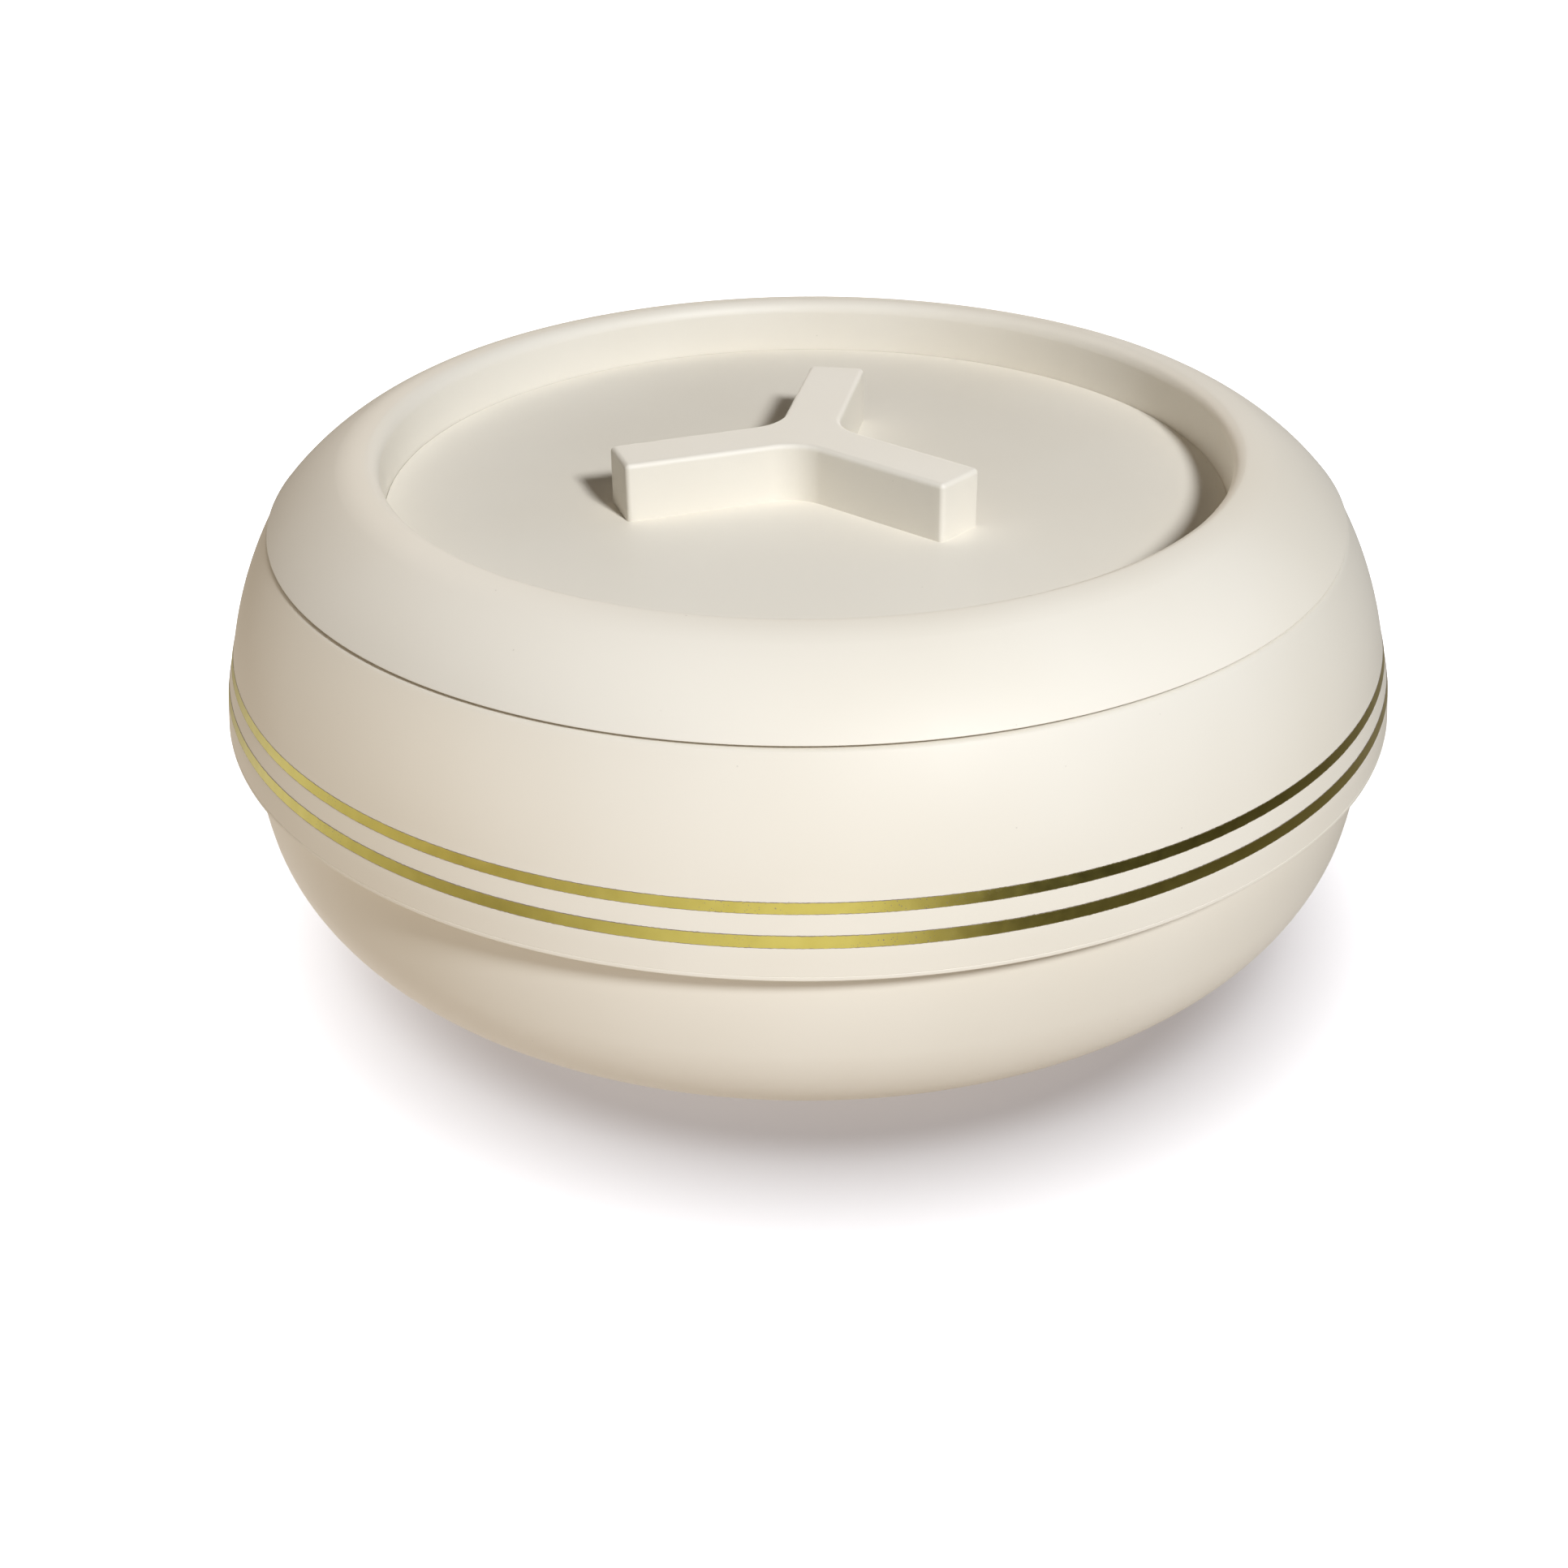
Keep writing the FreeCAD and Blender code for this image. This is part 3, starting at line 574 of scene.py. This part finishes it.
def foilBand(name, sizes, band, random):
    # A thin band on the collar's belly. Height is low + share (high - low), with both edges wavering.
    # Radius is the cone's, from belly to knee, plus the arc's bulge, plus the foil's depth. The arc stands
    # off the cone by the product of the distances to the cone's two ends over twice the arc's radius. Slope
    # is length along the cone per height: it enters once for each distance, and once to make the bulge level.
    steps = sizes["steps"]
    waves = random.integers(*sizes["waves"])
    low = band[0] + sizes["waver"] * wander(sizes, waves, random)
    high = band[1] + sizes["waver"] * wander(sizes, waves, random)
    share, depth = np.array(sizes["profile"]).T
    height = low + share[:, None] * (high - low)
    (kneeRadius, kneeHeight), (bellyRadius, bellyHeight) = sizes["knee"], sizes["belly"]
    cone = kneeRadius + (bellyRadius - kneeRadius) * (kneeHeight - height) / (kneeHeight - bellyHeight)
    slope = math.hypot(bellyRadius - kneeRadius, kneeHeight - bellyHeight) / (kneeHeight - bellyHeight)
    bulge = (kneeHeight - height) * (height - bellyHeight) * slope ** 3 / (2 * sizes["bulge"])
    radius = cone + bulge + depth[:, None]
    angle = roundAngles(steps)
    points = np.stack([radius * np.cos(angle), radius * np.sin(angle), height], -1).reshape(-1, 3)
    return makePiece(name, points, [gridFaces(len(share), steps, True)], {"across": np.repeat(share, steps)})


random = np.random.default_rng(stripes["seed"])
stripeUpper = foilBand("stripeUpper", stripes, stripes["upper"], random)
stripeLower = foilBand("stripeLower", stripes, stripes["lower"], random)
dress(stripeUpper, "casserole_body", ["gold_stripe_upper"], goldSheet)
dress(stripeLower, "casserole_body", ["gold_stripe_lower"], goldSheet)
print("shell and stripes made")


pot = {
    "outside": [(0.0, 17.6), (50.5, 17.6), (52.0, 17.0), (63.5, 17.0, 28.6), (91.1, 38.0), (101.6, 74.0),
                (101.6, 87.4, -1.4), (103.0, 88.8), (106.7, 88.8, 0, 0.25), (106.7, 89.4, 0, 0.25)],
    "inside": [(103.0, 89.4, 2.0), (101.0, 87.4), (101.0, 74.0), (90.5, 38.0, -28.0), (63.5, 17.6),
               (52.0, 17.6), (50.5, 18.2), (0.0, 18.2)],
    "softness": 0.6,
    "steps": 288,
}
potLine = section(pot["outside"] + pot["inside"], pot["softness"], False)
steelPot = turned("steelPot", potLine, pot["steps"], True)
dress(steelPot, "casserole_body", ["inner_pot"], potSheet)


plugs = {
    "bowl": [(0.0, 1.2), (4.0, 1.2), (4.6, 0.7), (12.0, 0.7), (12.0, 1.9), (8.7, 1.9), (8.7, 4.3),
             (0.0, 4.3)],
    "lid": [(0.0, 80.3), (4.0, 80.3), (4.6, 79.8), (12.0, 79.8), (12.0, 81.0), (8.7, 81.0), (8.7, 83.0),
            (0.0, 83.0)],
    "softness": 0.3,
    "steps": 96,
}
bowlPlug = turned("bowlPlug", section(plugs["bowl"], plugs["softness"], False), plugs["steps"], True)
lidPlug = turned("lidPlug", section(plugs["lid"], plugs["softness"], False), plugs["steps"], True)
dress(bowlPlug, "casserole_body", ["bowl_fill_plug"], ivoryShell)
dress(lidPlug, "lid", ["lid_fill_plug"], ivoryShell)
print("pot and plugs made")


ring = {
    "outside": [(109.7, 90.62), (112.6, 90.62, 47.0, 0.35), (98.75, 101.9, 18.1, 1.5),
                (91.4, 104.05, 2.95, 0.4), (88.5, 101.1, 0, 0.1), (88.5, 89.7), (85.1, 89.7), (85.1, 87.5),
                (90.9, 87.5)],
    "inside": [(90.9, 101.7, -15.7, 1.0), (97.605, 99.79, -44.6, 1.0), (106.5, 92.0), (109.7, 92.0)],
    "softness": 0.25,
    "steps": 360,
}
lidRing = turned("lidRing", section(ring["outside"] + ring["inside"], ring["softness"]), ring["steps"])
dress(lidRing, "lid", ["lid_ring"], ivoryShell)


arms = {"count": 3, "turn": 79.0, "holeCircle": 26.0}  # of the handle, and the screws under them


disc = {
    "radius": 88.45,
    "top": 92.1,
    "bottom": 89.7,
    "round": 0.25,
    "roundPoints": 6,
    "bevel": 0.2,  # of the lower edge
    "border": 0.3,  # from the rounded edge to the next ring of the top
    "holeRadius": 2.25,
    "holePoints": 32,
    "steps": 288,
}


def circle(centre, radius, steps):
    angle = roundAngles(steps)
    return np.stack([centre[0] + radius * np.cos(angle), centre[1] + radius * np.sin(angle)], 1)


def armAngles(sizes):
    return np.radians(sizes["turn"] + 360 / sizes["count"] * np.arange(sizes["count"]))


def screwCentres(sizes):
    angle = armAngles(sizes)
    return sizes["holeCircle"] * np.stack([np.cos(angle), np.sin(angle)], 1)


def pierced(outline, holes, height, upwards):
    # a flat face inside an outline, with round holes, cut into triangles
    loops = [outline] + holes
    flat = np.concatenate(loops)
    cut = np.array(tessellate_polygon([[Vector((x, y, 0)) for x, y in loop] for loop in loops]))
    a, b, c = flat[cut[:, 0]], flat[cut[:, 1]], flat[cut[:, 2]]
    area = (b[:, 0] - a[:, 0]) * (c[:, 1] - a[:, 1]) - (b[:, 1] - a[:, 1]) * (c[:, 0] - a[:, 0])
    wrong = (area < 0) == upwards
    cut[wrong] = cut[wrong][:, ::-1]
    return np.column_stack([flat, np.full(len(flat), height)]), cut


def joined(groups):
    # stacks (points, faces) groups into one list of points and one of faces, and merges points that coincide
    points, faces, start = [], [], 0
    for groupPoints, groupFaces in groups:
        points.append(groupPoints)
        faces.append(groupFaces + start)
        start += len(groupPoints)
    points = np.concatenate(points)
    first, place = np.unique(np.round(points, 5), axis=0, return_index=True, return_inverse=True)[1:]
    place = place.reshape(-1)
    return points[first], [place[face] for face in faces]


def walls(loops, heights):
    # a grid through closed loops of the same number of points, each at its height
    levels = [np.column_stack([loop, np.full(len(loop), height)]) for loop, height in zip(loops, heights)]
    return np.concatenate(levels), gridFaces(len(loops), len(loops[0]), False)


def makeDisc(sizes):
    # a round plate with a rounded upper edge, and holes for the screws
    turn = np.linspace(0, math.pi / 2, sizes["roundPoints"])
    radii = sizes["radius"] - sizes["round"] * (1 - np.cos(turn))
    heights = sizes["top"] - sizes["round"] * (1 - np.sin(turn))
    wall = [sizes["radius"] - sizes["bevel"], sizes["radius"]]
    radii = np.concatenate([wall, radii, [radii[-1] - sizes["border"]]])
    heights = np.concatenate([[sizes["bottom"], sizes["bottom"] + sizes["bevel"]], heights, [sizes["top"]]])
    loops = [circle((0, 0), radius, sizes["steps"]) for radius in radii]
    holes = [circle(centre, sizes["holeRadius"], sizes["holePoints"]) for centre in screwCentres(arms)]
    groups = [walls(loops, heights), pierced(loops[-1], holes, sizes["top"], True),
              pierced(loops[0], holes, sizes["bottom"], False)]
    for hole in holes:
        groups.append(walls([hole, hole], [sizes["top"], sizes["bottom"]]))
    return makePiece("lidDisc", *joined(groups))


lidDisc = makeDisc(disc)
dress(lidDisc, "lid", ["lid_disc"], ivoryShell)


handle = {
    "bottom": 92.1,
    "height": 12.3,
    "armLength": 40.8,
    "armWidth": 12.2,
    "hollow": 10.0,  # radius of the hollow corners between the arms
    "hollowPoints": 9,
    "round": 1.05,
    "roundPoints": 7,
    "leastRound": 0.02,
    "sideShares": [0.03, 0.2, 0.4, 0.6, 0.8, 0.97],
    "endShares": [-0.9, -0.3],
    "skirt": 0.3,  # from an edge to the next ring of the wall
    "border": 0.35,  # from the rounded edge to the next ring of the top
    "boreRadius": 2.05,
    "boreDepth": 9.1,
    "borePoints": 32,
}


def bend(centre, radius, first, last, count):
    # an arc about a centre, from one angle in degrees to another
    turn = np.radians(np.linspace(first, last, count))
    return np.array(centre) + radius * np.stack([np.cos(turn), np.sin(turn)], 1)


def handleOutline(sizes, inset):
    # One arm's outline, from the middle of the hollow corner before it to the middle of the one after it,
    # turned to each arm. An inset moves every run inwards: flat sides come in, end corners shrink, and hollow
    # corners grow about the same centres.
    half = sizes["armWidth"] / 2
    corner = max(sizes["round"] - inset, sizes["leastRound"])
    hubY = half + sizes["hollow"]
    hubX = hubY / math.tan(math.pi / arms["count"])
    tip = sizes["armLength"] - sizes["round"]
    start = bend((hubX, -hubY), sizes["hollow"] + inset, 180 - 180 / arms["count"], 90, sizes["hollowPoints"])
    shares = np.array(sizes["sideShares"])
    side = np.stack([hubX + (tip - hubX) * shares, np.full(len(shares), inset - half)], 1)
    centre = (sizes["armLength"] - inset - corner, inset + corner - half)
    lowCorner = bend(centre, corner, -90, 0, sizes["roundPoints"])
    ends = (half - sizes["round"]) * np.array(sizes["endShares"])
    end = np.stack([np.full(len(ends), sizes["armLength"] - inset), ends], 1)
    arm = np.concatenate([start, side, lowCorner, end])
    arm = np.concatenate([arm, (arm * [1, -1])[::-1]])[:-1]
    angle = armAngles(arms)
    along, across = [np.cos(angle), np.sin(angle)], [-np.sin(angle), np.cos(angle)]
    spin = np.stack([np.stack(along, -1), np.stack(across, -1)], -2)
    return np.einsum("pi,aij->apj", arm, spin).reshape(-1, 2)


def makeHandle(sizes):
    # walls up the outline, a quarter-round rim, a flat top, and a pierced underside with the pilot bores
    bottom = sizes["bottom"]
    top = bottom + sizes["height"]
    boreTop = bottom + sizes["boreDepth"]
    turn = np.linspace(0, math.pi / 2, sizes["roundPoints"])
    rim = sizes["round"] * (1 - np.cos(turn))
    insets = np.concatenate([[0.0, 0.0, 0.0], rim, [sizes["round"] + sizes["border"]]])
    heights = np.concatenate([[bottom, bottom + sizes["skirt"], top - sizes["round"] - sizes["skirt"]],
                              top - sizes["round"] * (1 - np.sin(turn)), [top]])
    loops = [handleOutline(sizes, inset) for inset in insets]
    bores = [circle(centre, sizes["boreRadius"], sizes["borePoints"]) for centre in screwCentres(arms)]
    groups = [walls(loops, heights), pierced(loops[-1], [], top, True),
              pierced(loops[0], bores, bottom, False)]
    for bore in bores:
        groups.append(walls([bore[::-1], bore[::-1]], [bottom, boreTop]))
        groups.append(pierced(bore, [], boreTop, False))
    return makePiece("lidHandle", *joined(groups))


lidHandle = makeHandle(handle)
dress(lidHandle, "lid", ["lid_handle"], ivoryShell)


liner = {
    "outline": [(9.0, 81.0), (99.5, 81.0), (99.5, 83.0), (98.0, 83.0), (98.0, 90.0), (109.4, 90.0),
                (109.4, 92.0), (95.6, 92.0), (95.6, 83.0), (9.0, 83.0)],
    "softness": 0.4,
    "steps": 288,
}
lidLiner = turned("lidLiner", section(liner["outline"], liner["softness"]), liner["steps"])
dress(lidLiner, "lid", ["lid_liner"], ivoryShell)


seal = {
    "outline": [(98.3, 83.0), (99.9, 83.0), (100.7, 83.8), (100.7, 84.4), (100.15, 85.0), (100.7, 85.6),
                (100.7, 86.2), (99.9, 87.0), (98.3, 87.0)],
    "softness": 0.3,
    "steps": 288,
}
lidSeal = turned("lidSeal", section(seal["outline"], seal["softness"]), seal["steps"])
dress(lidSeal, "seal_ring", ["lid_seal"], sealSkin)
print("lid made")


# nodes whose own meshes are kept, with their finishes
kept = {"body_foam": foamSkin, "lid_foam": foamSkin, "handle_screws": screwSkin}
for name, material in kept.items():
    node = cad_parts[name]
    node.data.materials.clear()
    node.data.materials.append(material)


studio = {
    "floorRadius": 14.0,  # metres, as all lengths of the studio
    "floorCore": 0.02,  # the root of the innermost ring's share of the radius
    "floorRings": 24,
    "floorSteps": 96,
    "floorColour": (0.60, 0.595, 0.60),
    "floorGlow": (0.215, 0.21, 0.23),
    "bounceGlow": (0.520, 0.455, 0.385),
    "bounceLean": {"turn": -30.0, "reach": 0.12, "low": 0.55, "high": 1.28},
    "ambient": (0.010, 0.007, 0.004),
    "white": (1.0, 1.0, 1.0),
    "middle": (0.0, 0.0, 0.06),  # the point that the lamps face
    "floorLamp": {"turn": -170.0, "rise": 68.0, "angle": 107.0, "power": 8.6},
}

card = {
    "columns": 240,
    "heights": [0.002, 0.002, 0.005, 0.020, 0.040, 0.055, 0.075],
    "upperShares": [0.3, 0.6, 1.0],  # of the way from the last height to the top
    "radii": [0.134, 0.170, 0.200, 0.205, 0.205, 0.205, 0.205, 0.205, 0.205, 0.205],
    "turns": [-180, -150, -120, -92, -80, -62, -45, -37, -28, -20, -12, -2, 5, 10, 16, 22, 30, 40, 60, 78, 92,
              120, 150, 180],
    "glow": [0.35, 0.25, 0.25, 0.95, 1.15, 0.78, 0.44, 0.46, 0.76, 0.98, 1.18, 1.36, 1.36, 1.00, 0.42, 0.04,
             0.00, 0.00, 0.01, 0.03, 0.09, 0.15, 0.25, 0.35],
    "top": [0.60, 0.60, 0.60, 0.50, 0.40, 0.30, 0.30, 0.30, 0.30, 0.30, 0.30, 0.30, 0.30, 0.30, 0.30, 0.30,
            0.30, 0.30, 0.30, 0.30, 0.30, 0.30, 0.45, 0.60],
    "low": [0.24, 0.24, 0.24, 0.20, 0.11, 0.02, 0.0],  # glow that the lowest rows add
    "lowFrom": 5,  # right of this turn
    "colour": (1.0, 0.955, 0.90),
    "dimColour": (1.0, 0.86, 0.70),
}

shellPieces = ["bowlShell", "collarShell", "stripeUpper", "stripeLower"]

# turn is in degrees right of the camera, and rise in degrees up; a lamp with only lights those pieces
lamps = {
    "keyLamp": {"turn": 30.0, "rise": 38.6, "distance": 1.3, "size": (0.20, 0.24), "power": 14.8,
                "colour": (0.965, 1.0, 1.05)},
    "discLamp": {"turn": 30.0, "rise": 38.6, "distance": 1.3, "size": (0.20, 0.24), "power": 5.2,
                 "colour": (1.0, 0.970, 0.930), "only": ["lidDisc"]},
    "handleLamp": {"turn": 0.0, "rise": 84.0, "distance": 1.3, "size": (0.60, 0.60), "power": 3.3,
                   "colour": (1.0, 0.96, 0.93), "only": ["lidHandle"]},
    "ringLamp": {"turn": -155.0, "rise": 32.0, "distance": 1.4, "size": (0.40, 0.40), "power": 2.7,
                 "colour": (1.0, 0.88, 0.74), "only": ["lidRing"]},
    "ringTopLamp": {"turn": -55.0, "rise": 68.0, "distance": 1.4, "size": (0.60, 0.60), "power": 2.9,
                    "colour": (1.0, 0.90, 0.79), "only": ["lidRing"]},
    "leftLamp": {"turn": -64.0, "rise": 9.0, "distance": 1.4, "size": (0.90, 0.14), "power": 3.5,
                 "colour": (1.0, 0.83, 0.62), "only": shellPieces},
    "frontLamp": {"turn": -8.0, "rise": 6.0, "distance": 1.5, "size": (0.80, 0.24), "power": 0.4,
                  "colour": (0.95, 0.98, 1.0)},
    "rearLamp": {"turn": 178.0, "rise": 6.0, "distance": 1.5, "size": (1.50, 0.50), "power": 13.0,
                 "colour": (1.0, 0.95, 0.88), "only": shellPieces + ["lidHandle"]},
    "rearRingLamp": {"turn": 178.0, "rise": 6.0, "distance": 1.5, "size": (1.50, 0.50), "power": 6.0,
                     "colour": (1.0, 0.95, 0.88), "only": ["lidRing"]},
    "backLamp": {"turn": 206.0, "rise": 44.0, "distance": 1.4, "size": (1.20, 1.20), "power": 1.6,
                 "colour": (1.0, 0.82, 0.60)},
}


def floorPaper(sizes):
    # pale paper that keeps its shadow where it is seen, and for the rays that carry light between surfaces
    # glows
    # warm, stronger towards the front left: painted bounce light on the casserole
    recipe = newRecipe("floorPaper")
    paper = recipe.add("ShaderNodeBsdfDiffuse", {}, {"Color": recipe.tint(sizes["floorColour"])})
    seen = recipe.add("ShaderNodeAddShader", {}, {0: paper, 1: recipe.glow(sizes["floorGlow"])})
    lean = sizes["bounceLean"]
    turn = math.radians(lean["turn"])
    sockets = {0: recipe.place, 1: (math.sin(turn), -math.cos(turn), 0)}
    forward = recipe.add("ShaderNodeVectorMath", {"operation": "DOT_PRODUCT"}, sockets, "Value")
    strength = recipe.ramp(forward, -lean["reach"], lean["reach"], lean["low"], lean["high"])
    # painted bounce light: a warm glow, stronger towards the front left
    bounce = recipe.glow(sizes["bounceGlow"], strength)
    return recipe.surface(recipe.choose(recipe.seenDirectly(), bounce, seen))


def makeFloor(sizes):
    # a disc of rings whose radii grow as a square, so that its faces are small under the casserole
    steps, rows = sizes["floorSteps"], sizes["floorRings"]
    radius = sizes["floorRadius"] * np.linspace(sizes["floorCore"], 1, rows) ** 2
    angle = roundAngles(steps)
    x, y = np.outer(radius, np.cos(angle)), np.outer(radius, np.sin(angle))
    points = np.stack([x, y, np.zeros((rows, steps))], -1)
    points = np.concatenate([points.reshape(-1, 3), [[0, 0, 0]]]) / mm
    faces = [gridFaces(rows, steps, False)[:, ::-1], fanFaces(0, steps, rows * steps, False)]
    floor = makePiece("floor", points, faces)
    floor.data.materials.append(floorPaper(sizes))
    return floor


def cardLight(sizes):
    # light by the card's own attribute glow, warmer where it is dim
    recipe = newRecipe("glossCard")
    glow = recipe.mark("glow")
    return recipe.surface(recipe.glow(recipe.mix(glow, sizes["dimColour"], sizes["colour"]), glow))


def makeCard(sizes):
    # A glowing tray round the casserole, which only its glossy parts see, so that its glow, turn by turn, is
    # a painted reflection in them. A point at turn t, radius r and height z is (r sin t, -r cos t, z), and
    # its glow is worked out from the table and from the height.
    columns = sizes["columns"]
    turn = np.linspace(-180, 180, columns, endpoint=False)
    low = np.array(sizes["heights"])[:, None]
    top = np.interp(turn, sizes["turns"], sizes["top"])
    share = np.array(sizes["upperShares"])[:, None]
    heights = np.concatenate([np.repeat(low, columns, axis=1), low[-1] + share * (top - low[-1])])
    glow = np.interp(turn, sizes["turns"], sizes["glow"])
    lift = np.concatenate([sizes["low"], np.zeros(len(share))])[:, None]
    glow = glow + lift * (turn > sizes["lowFrom"]) * (1 - glow)
    angle = np.radians(turn)
    x, y = np.outer(sizes["radii"], np.sin(angle)), -np.outer(sizes["radii"], np.cos(angle))
    points = np.stack([x, y, heights], -1)
    faces = gridFaces(len(heights), columns, False)
    panel = makePiece("glossCard", points.reshape(-1, 3) / mm, [faces], {"glow": glow.reshape(-1)})
    panel.data.materials.append(cardLight(sizes))
    panel.visible_camera = False
    panel.visible_diffuse = False
    panel.visible_shadow = False
    panel.visible_transmission = False


def aimLamp(lamp, turn, rise, distance):
    # puts a lamp on a sphere round the casserole, facing its middle
    turn, rise = math.radians(turn), math.radians(rise)
    level = math.cos(rise)
    spot = Vector((math.sin(turn) * level, -math.cos(turn) * level, math.sin(rise))) * distance
    facing = spot.to_track_quat("Z", "Y").to_matrix().to_4x4()
    lamp.matrix_world = Matrix.Translation(Vector(studio["middle"]) + spot) @ facing


def addLamp(name, kind, **settings):
    light = bpy.data.lights.new(name, kind)
    for key, value in settings.items():
        setattr(light, key, value)
    lamp = bpy.data.objects.new(name, light)
    scene.collection.objects.link(lamp)
    return lamp


def shareLight(lamp, things, state):
    # the lamp lights only the things, where they are included, or all but the things, where they are excluded
    group = bpy.data.collections.new(lamp.name)
    for thing in things:
        group.objects.link(thing)
    for row in group.collection_objects:
        row.light_linking.link_state = state
    lamp.light_linking.receiver_collection = group


def makeWorld(sizes):
    # a dim world that is white where it is seen
    scene.world = bpy.data.worlds.new("studio")
    recipe = Recipe(scene.world)
    dim, white = [recipe.add("ShaderNodeBackground", {}, {"Color": recipe.tint(sizes[colour])})
                  for colour in ("ambient", "white")]
    recipe.surface(recipe.choose(recipe.seenDirectly(), dim, white), "ShaderNodeOutputWorld")


def makeStudio(sizes):
    floor = makeFloor(sizes)
    makeCard(card)
    for name, row in lamps.items():
        width, height = row["size"]
        lamp = addLamp(name, "AREA", shape="ELLIPSE", size=width, size_y=height, energy=row["power"],
                       color=row["colour"])
        aimLamp(lamp, row["turn"], row["rise"], row["distance"])
        if "only" in row:
            shareLight(lamp, [bpy.data.objects[only] for only in row["only"]], "INCLUDE")
        else:
            shareLight(lamp, [floor], "EXCLUDE")
    above = sizes["floorLamp"]
    floorLamp = addLamp("floorLamp", "SUN", energy=above["power"], angle=math.radians(above["angle"]))
    aimLamp(floorLamp, above["turn"], above["rise"], 1.0)
    shareLight(floorLamp, [floor], "INCLUDE")
    makeWorld(sizes)


makeStudio(studio)
scene.view_settings.view_transform = "Standard"
print("studio made")
